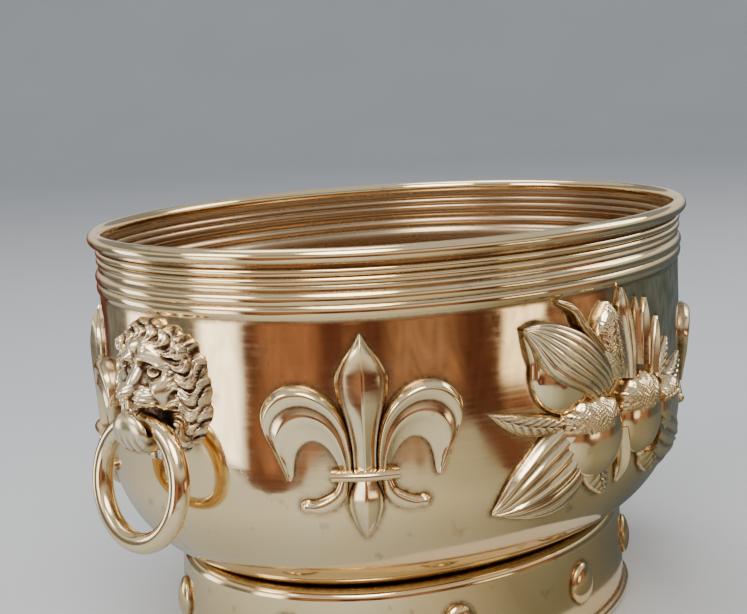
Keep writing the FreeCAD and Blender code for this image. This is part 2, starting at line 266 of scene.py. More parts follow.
@dataclass(frozen=True)
class Finish:
    """Metal finish: clean colour, its tarnish and painted-shade colour, its gloss and the marks on it.

    Bump depths are in millimetres.
    """

    name: str
    clean: tuple[float, float, float]
    warm: tuple[float, float, float]
    tarnish_and_shade_colour: tuple[float, float, float]
    lining: tuple[float, float, float] = (0.42, 0.29, 0.18)
    gloss: float = 0.10
    dull: float = 0.26
    patches: float = 14.0
    warmth: float = 0.6
    streak: float = 0.0008
    grain: float = 0.0015
    dent: float = 0.03
    scratch: float = 0.004
    shade_and_tarnish_amount: float = 0.9

    def material(self) -> bpy.types.Material:
        """The node material of this finish, made once and then shared.

        Returns:
            Metal whose colour goes from clean to warm by slow patches, to a dark colour where the shade
            tone lays painted shade in hollows, grooves, creases and undersides (mottled, so that it also
            reads as tarnish), and to the lining colour inside; polishing streaks, hairline scratches,
            grain and shallow dents drive its gloss and bump.
        """
        made = bpy.data.materials.get(self.name)
        if made:
            return made
        graph = Graph(self.name)
        place = graph.node("TexCoord").outputs["Object"]
        stretched = graph.node("Mapping", {"Vector": place, "Scale": (7.0, 7.0, 650.0)})
        shade_and_tarnish = graph.node("Attribute", attribute_name="shade_and_tarnish").outputs["Fac"]
        inside = graph.node("Attribute", attribute_name="inside").outputs["Fac"]
        patch = graph.ramp(graph.noise(place, self.patches, 6.0, 0.4), 0.38, 0.68)
        speck = graph.noise(place, 420.0, 3.0)
        streak = graph.noise(stretched.outputs[0], 1.0, 3.0)
        fine = graph.noise(place, 1100.0, 2.0)
        dent = graph.noise(place, 22.0, 1.0)
        line = graph.math("ABSOLUTE", graph.math("SUBTRACT", graph.noise(place, 46.0, 4.0, 1.2), 0.5))
        worn = graph.ramp(graph.noise(place, 9.0, 2.0), 0.45, 0.62)
        hairline = graph.math("MULTIPLY", graph.ramp(line, 0.0, 0.0045, 1.0, 0.0), worn)
        spot = graph.ramp(graph.noise(place, 95.0, 5.0), 0.64, 0.74)
        # Painted shade: the per-point shade tone darkens hollows, grooves, creases and undersides towards
        # the dark colour, mottled so that it also reads as tarnish; the random spots are tarnish.
        mottled = graph.math("MULTIPLY", shade_and_tarnish, graph.ramp(speck, 0.25, 0.65, 0.65, 1.15))
        shade_and_tarnish_amount = graph.math("MINIMUM", graph.math("MULTIPLY", mottled, self.shade_and_tarnish_amount), 1.0)
        warmed = graph.math("MULTIPLY", patch, self.warmth)
        colour = graph.blend(warmed, (*self.clean, 1), (*self.warm, 1))
        colour = graph.blend(graph.math("MULTIPLY", spot, 0.35), colour, (*self.tarnish_and_shade_colour, 1))
        colour = graph.blend(shade_and_tarnish_amount, colour, (*self.tarnish_and_shade_colour, 1))
        lined = graph.math("MULTIPLY", inside, graph.ramp(patch, 0.0, 1.0, 0.72, 1.0))
        colour = graph.blend(lined, colour, (*self.lining, 1))
        rough = graph.ramp(patch, 0.0, 1.0, self.gloss, 0.5 * (self.gloss + self.dull))
        for part, share in ((hairline, 0.12), (shade_and_tarnish_amount, 0.22), (inside, 0.18), (spot, 0.10)):
            rough = graph.math("ADD", rough, graph.math("MULTIPLY", part, share))
        rough = graph.math("ADD", rough, graph.ramp(streak, 0.3, 0.7, -0.02, 0.04))
        height = graph.math("MULTIPLY", streak, self.streak)
        for part, depth in ((fine, self.grain), (dent, self.dent), (hairline, -self.scratch)):
            height = graph.math("ADD", height, graph.math("MULTIPLY", part, depth))
        bump = graph.node("Bump", {"Strength": 1.0, "Distance": MM, "Height": height})
        shader = graph.node("BsdfPrincipled", {
            "Base Color": colour, "Metallic": 1.0, "Roughness": rough,
            "Normal": bump.outputs[0], "Specular IOR Level": 0.5})
        graph.tree.links.new(shader.outputs[0], graph.output.inputs["Surface"])
        return graph.material


SHEET_BRASS = Finish("sheet_brass_finish", (0.93, 0.73, 0.42), (0.86, 0.58, 0.27),
                     (0.16, 0.075, 0.032), gloss=0.055, dull=0.16)
ORNAMENT_BRASS = Finish("ornament_brass_finish", (0.95, 0.77, 0.47), (0.88, 0.62, 0.30),
                        (0.15, 0.07, 0.03), gloss=0.09, dull=0.22, streak=0.0, grain=0.003,
                        dent=0.02)
INNER_BRASS = Finish("inner_brass_finish", (0.50, 0.36, 0.22), (0.38, 0.24, 0.13),
                     (0.12, 0.07, 0.04), gloss=0.26, dull=0.42, grain=0.004)
FOOT_BRASS = Finish("foot_brass_finish", (0.92, 0.71, 0.39), (0.80, 0.52, 0.23),
                    (0.14, 0.065, 0.028), gloss=0.08, dull=0.24)
CAST_BRASS = Finish("cast_brass_finish", (0.93, 0.76, 0.50), (0.80, 0.56, 0.30),
                    (0.075, 0.034, 0.018), gloss=0.15, dull=0.34, streak=0.0, grain=0.010,
                    dent=0.03, patches=30.0, shade_and_tarnish_amount=1.0)
RING_BRASS = Finish("ring_brass_finish", (0.93, 0.74, 0.44), (0.78, 0.52, 0.24),
                    (0.12, 0.06, 0.03), gloss=0.08, dull=0.22, streak=0.0, scratch=0.008,
                    patches=35.0)
FIXING_BRASS = Finish("fixing_brass_finish", (0.72, 0.52, 0.27), (0.55, 0.35, 0.16),
                      (0.12, 0.06, 0.03), gloss=0.24, dull=0.42, streak=0.004, patches=60.0)
IRON_WIRE = Finish("iron_wire_finish", (0.34, 0.33, 0.32), (0.26, 0.20, 0.16),
                   (0.10, 0.05, 0.03), gloss=0.34, dull=0.55, grain=0.01, patches=50.0)


# ---- the pot's oval ------------------------------------------------------------------
@dataclass(frozen=True)
class Oval:
    """Four-centre oval, measured round at one inset from the rim's outside."""

    half_length: float = 150.0
    half_width: float = 125.0
    end_radius: float = 115.0
    measured_at: float = 4.0

    @property
    def end_centre(self) -> float:
        """Distance of an end arc's centre from the middle."""
        return self.half_length - self.end_radius

    @property
    def side_radius(self) -> float:
        """Radius of the long side arcs, which meet the end arcs without a corner."""
        gap = self.half_width - self.end_radius
        return (self.end_centre ** 2 + self.half_width ** 2 - self.end_radius ** 2) / (2 * gap)

    @property
    def side_centre(self) -> float:
        """Distance of a side arc's centre beyond the middle."""
        return self.side_radius - self.half_width

    @property
    def sweep(self) -> float:
        """Half the angle that an end arc turns through."""
        return math.atan2(self.side_centre, self.end_centre)

    @property
    def stops(self) -> Array:
        """Distances round where one arc gives way to the next.

        Returns:
            Six distances, counted from the front's middle.
        """
        side = (self.side_radius - self.measured_at) * (math.pi / 2 - self.sweep)
        end = (self.end_radius - self.measured_at) * 2 * self.sweep
        return np.cumsum([0.0, side, end, 2 * side, end, side])

    @property
    def length(self) -> float:
        """Whole way round."""
        return float(self.stops[-1])

    @property
    def seam(self) -> float:
        """Distance round from the front's middle to the +X end, a quarter of the way."""
        return self.length / 4

    def place(self, along: Array, inset: Array, height: Array) -> Array:
        """Points on the oval.

        The angle of an arc grows with the distance past its start over its radius, and
        the point is the arc's centre plus (radius - inset) along that angle.

        Args:
            along: distance round.
            inset: how far inside the rim's outside.
            height: height above the standing face.

        Returns:
            Points, one more axis than the inputs.
        """
        stops = self.stops
        way = np.mod(along, self.length)
        arc = np.clip(np.searchsorted(stops, way, side="right") - 1, 0, 4)
        turn = self.sweep
        starts = np.array([-math.pi / 2, -turn, turn, math.pi - turn, math.pi + turn])
        radius = np.array([self.side_radius, self.end_radius] * 2 + [self.side_radius])[arc]
        centre_x = np.array([0, self.end_centre, 0, -self.end_centre, 0])[arc]
        centre_y = np.array([self.side_centre, 0, -self.side_centre, 0, self.side_centre])[arc]
        angle = starts[arc] + (way - stops[arc]) / (radius - self.measured_at)
        reach = radius - inset
        parts = np.broadcast_arrays(centre_x + reach * np.cos(angle),
                                    centre_y + reach * np.sin(angle), height)
        return np.stack(parts, -1)


# ---- body ----------------------------------------------------------------------------
@dataclass
class PotBody:
    """Sheet body: rolled rim, reeded collar, plain wall that rounds in to a flat seat.

    Reeds are (depth below the rim, inset, rise) of each arc's lower end; groove depths are those of the
    grooves between them, each marked with a dark line of painted shade.
    """

    oval: Oval = field(default_factory=Oval)
    height: float = 192.0
    sheet: float = 1.2
    bead: float = 3.2
    neck_inset: float = 4.4
    collar_depth: float = 7.6
    reeds: tuple[tuple[float, float, float], ...] = (
        (11.2, 4.4, 1.3), (14.6, 4.4, 1.2), (17.0, 4.0, 0.2), (22.4, 3.6, 1.3), (27.4, 3.8, 0.9))
    groove_depths: tuple[float, ...] = (7.6, 11.2, 14.6, 17.0, 22.4, 28.0)
    wall_inset: float = 4.0
    round_start: float = 97.0
    round_radius: float = 56.0
    seat_height: float = 44.4
    seat_inset: float = 46.0
    floor_inset: float = 39.4
    floor_top: float = 46.8
    ripple: float = 0.10

    def raised(self, along: Array, height: Array, proud: Array) -> Array:
        """Points standing proud of the wall, square to it.

        Below the round's start the wall turns in: sin(lean) is the drop over the round's
        radius, and the point leans down by the same angle.

        Args:
            along: distance round.
            height: height of the wall point that it stands on.
            proud: distance out from the wall.

        Returns:
            Points in mm.
        """
        drop = np.clip(self.round_start - height, 0, self.round_radius * 0.94)
        lean = np.arcsin(drop / self.round_radius)
        inset = self.wall_inset + self.round_radius * (1 - np.cos(lean)) - proud * np.cos(lean)
        return self.oval.place(along, inset, height - proud * np.sin(lean))

    def reeded(self) -> Array:
        """Collar profile as (inset, height) rows, one circular arc for each reed.

        A reed of half chord c and rise r is part of a circle that turns through
        2 atan(r / c) each side of its middle.

        Returns:
            Rows from the neck under the rim down to the last reed's lower end.
        """
        start = np.array([self.neck_inset, self.height - self.collar_depth])
        rows = []
        for depth, inset, rise in self.reeds:
            end = np.array([inset, self.height - depth])
            chord = np.linalg.norm(end - start) / 2
            turn = 2 * math.atan(rise / chord)
            angle = np.linspace(-turn, turn, 10)[:, None]
            radius = chord / math.sin(turn)
            forward = (end - start) / (2 * chord)
            outward = np.array([-1.0, 0.0])
            rows.append((start + end) / 2 + radius * np.sin(angle) * forward
                        + radius * (np.cos(angle) - math.cos(turn)) * outward)
            start = end
        return np.vstack(rows)

    def side(self, offset: float) -> Array:
        """One side of the sheet from the neck down to the seat's edge.

        Args:
            offset: 0 for the outside, the sheet's thickness for the inside.

        Returns:
            Rows of (inset, height).
        """
        neck_top = np.array([[self.neck_inset, self.height - self.bead],
                             [self.neck_inset, self.height - 6.4]])
        collar = np.vstack([neck_top, self.reeded()]) + [offset, 0]
        drop = np.linspace(self.height - 28.2, self.round_start, 34)
        wall = np.stack([np.full_like(drop, self.wall_inset + offset), drop], -1)
        radius = self.round_radius - offset
        low = self.seat_height + offset
        lean = np.linspace(0, math.asin((self.round_start - low) / radius), 34)[1:, None]
        turned = np.hstack([self.wall_inset + self.round_radius - radius * np.cos(lean),
                            self.round_start - radius * np.sin(lean)])
        return np.vstack([collar, wall, turned, [[self.seat_inset, low]]])

    def ripples(self, along: Array, height: Array) -> Array:
        """Hand-worked unevenness of the wall in mm: three slow waves, flat at the rim."""
        waves = (np.sin(along / 9.5 + 0.9 * np.sin(height / 17)) * np.sin(height / 13 + 1)
                 + np.sin(along / 23 + height / 31) + 0.6 * np.sin(height / 8.5 + along / 41))
        return self.ripple * waves * ease(self.height - height, 28, 45) * ease(height, 46, 70)

    def half_wall(self, middle: float, outlines: Array) -> Skin:
        """Closed half of the body, swept from one end seam to the other.

        Args:
            middle: distance round of the half's middle.
            outlines: points (along, height) on the edges of the raised ornament, round which a dark line
                of painted shade is laid.

        Returns:
            A closed skin with its tones.
        """
        outer, inner = self.side(0.0), self.side(self.sheet)
        loop = np.vstack([outer, inner[::-1]])
        hidden = np.concatenate([np.zeros(len(outer)), np.ones(len(inner))])
        along = np.linspace(middle - self.oval.seam, middle + self.oval.seam, 372)[:, None]
        inset, height = loop[:, 0][None], loop[:, 1][None]
        inset = inset - self.ripples(along, height)
        # Painted shade round the ornament's edges, standing for the shadow in the chased groove.
        near = self.outline_shade(along[:, 0], outer[:, 1], outlines)
        shade_and_tarnish = np.hstack([near, np.zeros((len(along), len(inner)))])
        depth = self.height - height
        # Painted shade: dark lines in the grooves between the reeds and in the crevice above the foot.
        groove = sum(0.75 * bell(depth - at, 0.5) for at in self.groove_depths)
        crevice = 0.8 * ease(50 - height, 0, 5)
        shade_and_tarnish = np.maximum(shade_and_tarnish, np.maximum(groove, crevice))
        return Skin(self.oval.place(along, inset, height), wrap_columns=True, cap_rows=True,
                    shade_and_tarnish=shade_and_tarnish, inside=hidden[None])

    def outline_shade(self, along: Array, height: Array, outlines: Array) -> Array:
        """Painted shade round the ornament, standing for the shadow in its chased groove: a bell curve of
        the distance to its outline.

        Args:
            along: distances round of the wall's rows.
            height: heights of the wall's columns.
            outlines: points (along, height) on the ornament's edges.

        Returns:
            Tone, rows by columns.
        """
        length = self.oval.length
        tone = np.zeros((len(along), len(height)))
        for at, level in outlines:
            gap = np.mod(along - at + length / 2, length) - length / 2
            rows = np.abs(gap) < 4
            spread = gap[rows, None] ** 2 + (height[None] - level) ** 2
            tone[rows] = np.maximum(tone[rows], 0.95 * np.exp(-spread / 2.0))
        return tone

    def tube(self, inset: float, height: float, radius: float, squash: float = 1.0) -> Skin:
        """Round bead carried right round the oval.

        Args:
            inset: inset of its middle.
            height: height of its middle.
            radius: its radius.
            squash: its height over its width.

        Returns:
            A closed skin, darker underneath with painted shade.
        """
        along = np.linspace(0, self.oval.length, 440, endpoint=False)[:, None]
        turn = np.linspace(0, 2 * np.pi, 28, endpoint=False)[None]
        size = radius * (1 + 0.010 * np.sin(along / 11) * np.sin(along / 47))
        points = self.oval.place(along, inset + size * np.cos(turn),
                                 height + squash * size * np.sin(turn))
        # Painted shade on the bead's underside.
        under = ease(-np.sin(turn), 0.45, 0.95) + 0 * along
        return Skin(points, wrap_rows=True, wrap_columns=True, shade_and_tarnish=0.8 * under)

    def build(self, outlines: Array) -> None:
        """Make the two wall halves, the rolled rim and the solder round the floor.

        Args:
            outlines: points (along, height) on the ornament's edges.
        """
        for name, middle in (("front_wall", 0.0), ("back_wall", 2 * self.oval.seam)):
            wall = make_piece(name + "_sheet", [self.half_wall(middle, outlines)])
            seat_piece(wall, "pot", SHEET_BRASS, (name,))
        rim = make_piece("rim_roll", [self.tube(self.bead, self.height - self.bead, self.bead)])
        seat_piece(rim, "pot", SHEET_BRASS)
        solder = make_piece("floor_solder", [self.tube(self.floor_inset, self.floor_top, 1.6, 0.5)])
        seat_piece(solder, "pot", INNER_BRASS)


# ---- foot ----------------------------------------------------------------------------
@dataclass
class FootBand:
    """Flared sheet foot with a round shoulder, a wired edge and a ring of bosses."""

    oval: Oval = field(default_factory=lambda: Oval(measured_at=32.4))
    seat_inset: float = 46.0
    seat_height: float = 44.4
    inset: float = 33.2
    flare: float = 1.6
    shoulder: float = 5.0
    sheet: float = 1.2
    bead: float = 2.6
    bead_flat: float = 0.5
    bosses: int = 9
    first_boss: float = 0.77
    boss_width: float = 8.4
    boss_height: float = 9.6
    boss_rise: float = 3.7
    boss_middle: float = 24.0

    def band_inset(self, height: Array) -> Array:
        """Inset of the band's outside, in a straight line from shoulder to bead.

        Args:
            height: heights on the band.

        Returns:
            The inset at each of them.
        """
        top = self.seat_height - self.shoulder
        low = self.bead - self.bead_flat
        return self.inset - self.flare * (top - height) / (top - low)

    def raised(self, along: Array, height: Array, proud: Array) -> Array:
        """Points standing proud of the band, straight out."""
        return self.oval.place(along, self.band_inset(height) - proud, height)

    def side(self, offset: float) -> Array:
        """Seat, quarter-round shoulder and band of one side of the sheet.

        Args:
            offset: 0 for the outside, the sheet's thickness for the inside.

        Returns:
            Rows of (inset, height) from the seat's edge down to the bead.
        """
        turn = np.linspace(0, np.pi / 2, 12)
        radius = self.shoulder - offset
        middle = (self.inset + self.shoulder, self.seat_height - self.shoulder)
        curve = np.stack([middle[0] - radius * np.sin(turn), middle[1] + radius * np.cos(turn)], -1)
        drop = np.linspace(middle[1], 4.6, 26)[1:]
        band = np.stack([self.band_inset(drop) + offset, drop], -1)
        return np.vstack([[[self.seat_inset, self.seat_height - offset]], curve, band])

    def profile(self) -> tuple[Array, Array]:
        """Closed profile of the foot, and how far each point is on the inside.

        Returns:
            Rows of (inset, height), and a share of 0 outside to 1 inside for each row.
        """
        turn = np.radians(np.linspace(92, 428, 24))
        middle = (self.inset - self.flare, self.bead - self.bead_flat)
        bead = np.stack([middle[0] + self.bead * np.cos(turn),
                         np.maximum(middle[1] + self.bead * np.sin(turn), 0)], -1)
        outer, inner = self.side(0.0), self.side(self.sheet)
        hidden = np.concatenate([np.zeros(len(outer)), np.linspace(0, 1, 24), np.ones(len(inner))])
        return np.vstack([outer, bead, inner[::-1]]), hidden

    def boss(self, index: int) -> Skin:
        """One egg-shaped boss, taller than wide, of half-ellipsoid section.

        Args:
            index: its number round the foot, from 0.

        Returns:
            A closed skin.
        """
        share = self.first_boss + index / self.bosses - 0.75
        dome = Dome((share * self.oval.length, self.boss_middle), (self.boss_width, self.boss_height),
                    self.boss_rise, egg=0.10)
        return dome.skin(self.raised)

    def build(self) -> None:
        """Make the foot with its bosses as one piece."""
        loop, hidden = self.profile()
        along = np.linspace(0, self.oval.length, 520, endpoint=False)[:, None]
        inset, height = loop[:, 0][None], loop[:, 1][None]
        wave = 0.06 * np.sin(along / 13 + height / 9) + 0.05 * np.sin(along / 31)
        points = self.oval.place(along, inset + wave * ease(height, 5, 12), height)
        # Painted shade: darker where the seat tucks under the wall, along the top of the wired edge, and
        # in a ring round each boss where it meets the band.
        crevice = np.maximum(0.9 * ease(inset, 39.5, 42.0), 0.8 * bell(height - 4.9, 1.0))
        ring = np.zeros((len(along), len(loop)))
        for index in range(self.bosses):
            centre = (self.first_boss + index / self.bosses - 0.75) * self.oval.length
            gap = np.mod(along - centre + self.oval.length / 2, self.oval.length) - self.oval.length / 2
            away = np.hypot(gap / self.boss_width, (height - self.boss_middle) / self.boss_height)
            ring = np.maximum(ring, 0.85 * bell(away - 1.04, 0.10))
        band = Skin(points, wrap_rows=True, wrap_columns=True,
                    shade_and_tarnish=np.maximum(crevice + 0 * along, ring), inside=hidden[None])
        skins = [band] + [self.boss(index) for index in range(self.bosses)]
        foot = make_piece("foot_sheet", skins)
        seat_piece(foot, "pot", FOOT_BRASS, ("foot_band",))


# ---- raised ornament -----------------------------------------------------------------
class Relief(Enum):
    """How a petal or leaf is modelled across its width."""

    RIDGED = "ridge down the middle with a small border"
    ROLLED = "two rolls, the outer one higher, and a slope to the inner edge"
    ROUND = "plain round"
    VEINED = "sunk midrib with slanting veins"
    FURROWED = "veins that run along it"
    STIPPLED = "dome covered with punched dimples"


ROLL_TABLE = np.array([0.04, 0.18, 0.34, 0.52, 0.74, 0.88, 0.80, 0.74, 0.95, 0.97, 0.40])


@dataclass(frozen=True)
class Dome:
    """Raised oval lump: the height is rise x sqrt(1 - r^2) over a wavy or egg outline.

    Size is its half width and half height, stipple the depth of its punched dimples and
    punch their size.
    """

    centre: tuple[float, float]
    size: tuple[float, float]
    rise: float
    egg: float = 0.0
    scallops: int = 0
    stipple: float = 0.0
    punch: float = 1.9

    def skin(self, placer: Placer) -> Skin:
        """Closed skin of the lump.

        Args:
            placer: puts (along, height, proud) on the surface that it stands on.

        Returns:
            Rows go from the middle out to the edge, down, and back under to the middle.
        """
        rings, spokes = (56, 170) if self.stipple else (28, 84)
        turn = np.linspace(0, 2 * np.pi, spokes, endpoint=False)[None]
        share = np.sin(np.linspace(0.03, np.pi / 2, rings))[:, None]
        edge = 1 + 0.05 * np.cos(self.scallops * turn) * (self.scallops > 0)
        across = self.size[0] * edge * np.cos(turn) * (1 - self.egg * np.sin(turn))
        up = self.size[1] * edge * np.sin(turn)
        x, y = share * across, share * up
        punched = pits(x, y, self.punch)
        proud = self.rise * np.sqrt(np.clip(1 - share ** 2, 0, 1))
        proud = proud + 0.3 + self.stipple * punched * (1 - share ** 4)
        under = np.array([1.0, 0.7, 0.4, 0.03])[:, None]
        x, y = np.vstack([x, under * across]), np.vstack([y, under * up])
        proud = np.vstack([proud + 0 * turn, np.full((4, turn.size), -SUNK)])
        # Painted shade round the lump's edge where it meets the wall, and in the bottoms of the punched
        # dimples; the hidden underside is fully dark.
        shade_and_tarnish = np.vstack([0.75 * ease(share, 0.93, 1.0) + 0 * turn, np.ones((4, turn.size))])
        if self.stipple:
            shade_and_tarnish[:rings] = np.maximum(shade_and_tarnish[:rings], 0.6 * ease(-punched, 0.1, 0.9))
        return Skin(placer(self.centre[0] + x, self.centre[1] + y, proud),
                    wrap_columns=True, cap_rows=True, shade_and_tarnish=shade_and_tarnish)

    def outline(self) -> Array:
        """Points (along, height) round its edge."""
        turn = np.linspace(0, 2 * np.pi, 60, endpoint=False)
        return np.stack([self.centre[0] + self.size[0] * np.cos(turn),
                         self.centre[1] + self.size[1] * np.sin(turn)], -1)

    def moved(self, shift: float, flip: float) -> "Dome":
        """The same lump carried round the pot, mirrored where flip is -1."""
        return Dome((shift + flip * self.centre[0], self.centre[1]), self.size, self.rise,
                    self.egg, self.scallops, self.stipple, self.punch)


@dataclass(frozen=True)
class Blade:
    """Petal, leaf or bar ruled between a near edge and a far edge.

    Rise is the height from the first knots to the last. The section scales it, and edge
    is the share of it that is kept where the section is lowest.
    """

    near: Knots
    far: Knots
    rise: tuple[float, ...]
    relief: Relief = Relief.ROUND
    edge: float = 0.16
    veins: int = 7
    rows: int = 72
    columns: int = 30
    punch: float = 1.8

    def edges(self) -> tuple[Array, Array]:
        """Both edges as smooth curves of (along, height)."""
        return (smooth_curve(np.array(self.near), self.rows),
                smooth_curve(np.array(self.far), self.rows))

    def section(self, across: Array, onward: Array, place: Array) -> tuple[Array, Array]:
        """Height and painted groove shade of the blade.

        Args:
            across: 0 at the near edge, 1 at the far one.
            onward: 0 at the first knots, 1 at the last.
            place: (along, height) of every point.

        Returns:
            Height as a share of the rise, and how deep in a groove each point is, which sets the painted
            shade there.
        """
        side = 2 * across - 1
        away = np.abs(side)
        dome = np.clip(1 - away ** 2.4, 0, 1) ** 0.6 + 0 * onward
        flat = 0 * dome
        if self.relief is Relief.RIDGED:
            border = bell(away - 0.86, 0.07)
            shape = 0.94 * (1 - away) ** 0.85 + 0.13 * border
            return shape + flat, 0.75 * bell(away - 0.70, 0.09) + flat
        if self.relief is Relief.ROLLED:
            shape = smooth_curve(ROLL_TABLE[:, None], across.size)[:, 0][None]
            return shape + flat, 0.85 * bell(across - 0.665, 0.045) + flat
        if self.relief is Relief.VEINED:
            wave = np.sin(2 * np.pi * (self.veins * onward - 1.7 * away))
            groove = np.maximum(bell(side, 0.07), 0.8 * ease(-wave, 0.35, 0.95) * (1 - away ** 3))
            return dome - 0.20 * bell(side, 0.09) + 0.09 * wave * (1 - away), groove
        if self.relief is Relief.FURROWED:
            wave = np.cos(2 * np.pi * (self.veins * across + 0.25 * np.sin(3 * onward)))
            groove = 0.8 * ease(-wave, 0.3, 0.95)
            return dome * (1 + 0.13 * wave) - 0.12 * bell(side, 0.06), groove
        if self.relief is Relief.STIPPLED:
            punched = pits(place[..., 0], place[..., 1], self.punch)
            groove = np.maximum(0.65 * ease(-punched, 0.1, 0.9), 0.7 * bell(side, 0.06))
            return dome + 0.055 * punched * (1 - away ** 4) - 0.10 * bell(side, 0.07), groove
        return dome, flat

    def skin(self, placer: Placer) -> Skin:
        """Closed skin of the blade.

        Args:
            placer: puts (along, height, proud) on the surface that it stands on.

        Returns:
            Rows along the blade; each is a loop over its top and back underneath.
        """
        near, far = self.edges()
        across = np.linspace(0, 1, self.columns)[None]
        under = np.linspace(1, 0, 5)[None]
        loop = np.hstack([across, under])
        place = near[:, None] * (1 - loop[..., None]) + far[:, None] * loop[..., None]
        onward = np.linspace(0, 1, self.rows)[:, None]
        rise = smooth_curve(np.array(self.rise)[:, None], self.rows)
        shape, groove = self.section(across, onward, place[:, :self.columns])
        top = rise * (self.edge + (1 - self.edge) * shape)
        proud = np.hstack([top, np.full((self.rows, 5), -SUNK)])
        # Painted shade along both edges where the blade meets the wall, added to the shade in its
        # grooves.
        rim = 0.8 * ease(np.abs(2 * across - 1), 0.90, 1.0) * np.ones_like(onward)
        shade_and_tarnish = np.hstack([np.maximum(groove, rim), np.ones((self.rows, 5))])
        return Skin(placer(place[..., 0], place[..., 1], proud),
                    wrap_columns=True, cap_rows=True, shade_and_tarnish=shade_and_tarnish)

    def outline(self) -> Array:
        """Points (along, height) on both its edges."""
        near, far = self.edges()
        return np.vstack([near[::2], far[::2]])

    def moved(self, shift: float, flip: float) -> "Blade":
        """The same blade carried round the pot.

        Args:
            shift: distance round that is added.
            flip: 1, or -1 to mirror it about the ornament's middle.

        Returns:
            A new blade.
        """
        near = tuple((shift + flip * x, y) for x, y in self.near)
        far = tuple((shift + flip * x, y) for x, y in self.far)
        return Blade(near, far, self.rise, self.relief, self.edge, self.veins,
                     self.rows, self.columns, self.punch)


def mirrored(parts: list[Dome | Blade]) -> list[Dome | Blade]:
    """The parts and their mirror images about the ornament's middle."""
    return parts + [part.moved(0.0, -1.0) for part in parts]


def even_blade(widths: Knots, rise: tuple[float, ...], relief: Relief, **more: float) -> Blade:
    """Upright blade that is the same both sides of the ornament's middle.

    Args:
        widths: (half width, height) from one end to the other.
        rise: height of the relief at each of them.
        relief: how it is modelled.
        more: other fields of the blade.

    Returns:
        The blade.
    """
    return Blade(tuple((-x, y) for x, y in widths), widths, rise, relief, **more)


FLEUR: list[Dome | Blade] = [
    even_blade(((0.35, 158.3), (3.4, 153.3), (7.6, 147.5), (10.3, 141.0), (9.4, 132.5),
                (6.8, 123.0), (5.2, 114.0), (4.8, 105.0)),
               (1.4, 4.0, 5.6, 6.4, 6.2, 5.6, 5.0, 4.6), Relief.RIDGED),
    even_blade(((4.3, 101.0), (7.1, 93.0), (5.8, 86.0), (2.6, 79.5), (0.35, 76.2)),
               (4.6, 6.2, 5.6, 4.0, 1.6), Relief.RIDGED),
    Blade(((-12.8, 100.8), (0.0, 100.6), (12.8, 100.8)),
          ((-12.8, 105.4), (0.0, 105.8), (12.8, 105.4)),
          (5.2, 6.6, 5.2), Relief.ROUND, edge=0.3),
    *mirrored([
        Blade(((-9.5, 104), (-11, 109), (-14.5, 114.3), (-18.5, 116.8), (-22.3, 116.3),
               (-25.3, 113.5), (-26.7, 110), (-27.4, 106.5), (-27.8, 103.5), (-28.6, 101.0)),
              ((-4.9, 105), (-5.3, 114), (-7.5, 125), (-13, 133.5), (-21.5, 138.6), (-30.5, 138.4),
               (-37.3, 133), (-39.5, 125), (-35.3, 114), (-30.2, 101)),
              (3.8, 4.2, 4.8, 5.3, 5.6, 5.6, 5.2, 4.4, 3.2, 1.6), Relief.ROLLED, columns=40),
        Blade(((-10.1, 101.4), (-12, 97.3), (-15.5, 94.9), (-19.5, 93.3), (-23.2, 92.9)),
              ((-6.1, 100.6), (-7.3, 94.5), (-11, 90.2), (-17, 87.9), (-22.8, 88.7)),
              (4.0, 4.2, 4.2, 4.0, 3.6), Relief.ROUND),
    ]),
    *mirrored([Dome((-23.0, 90.8), (2.7, 2.6), 3.6)]),
]

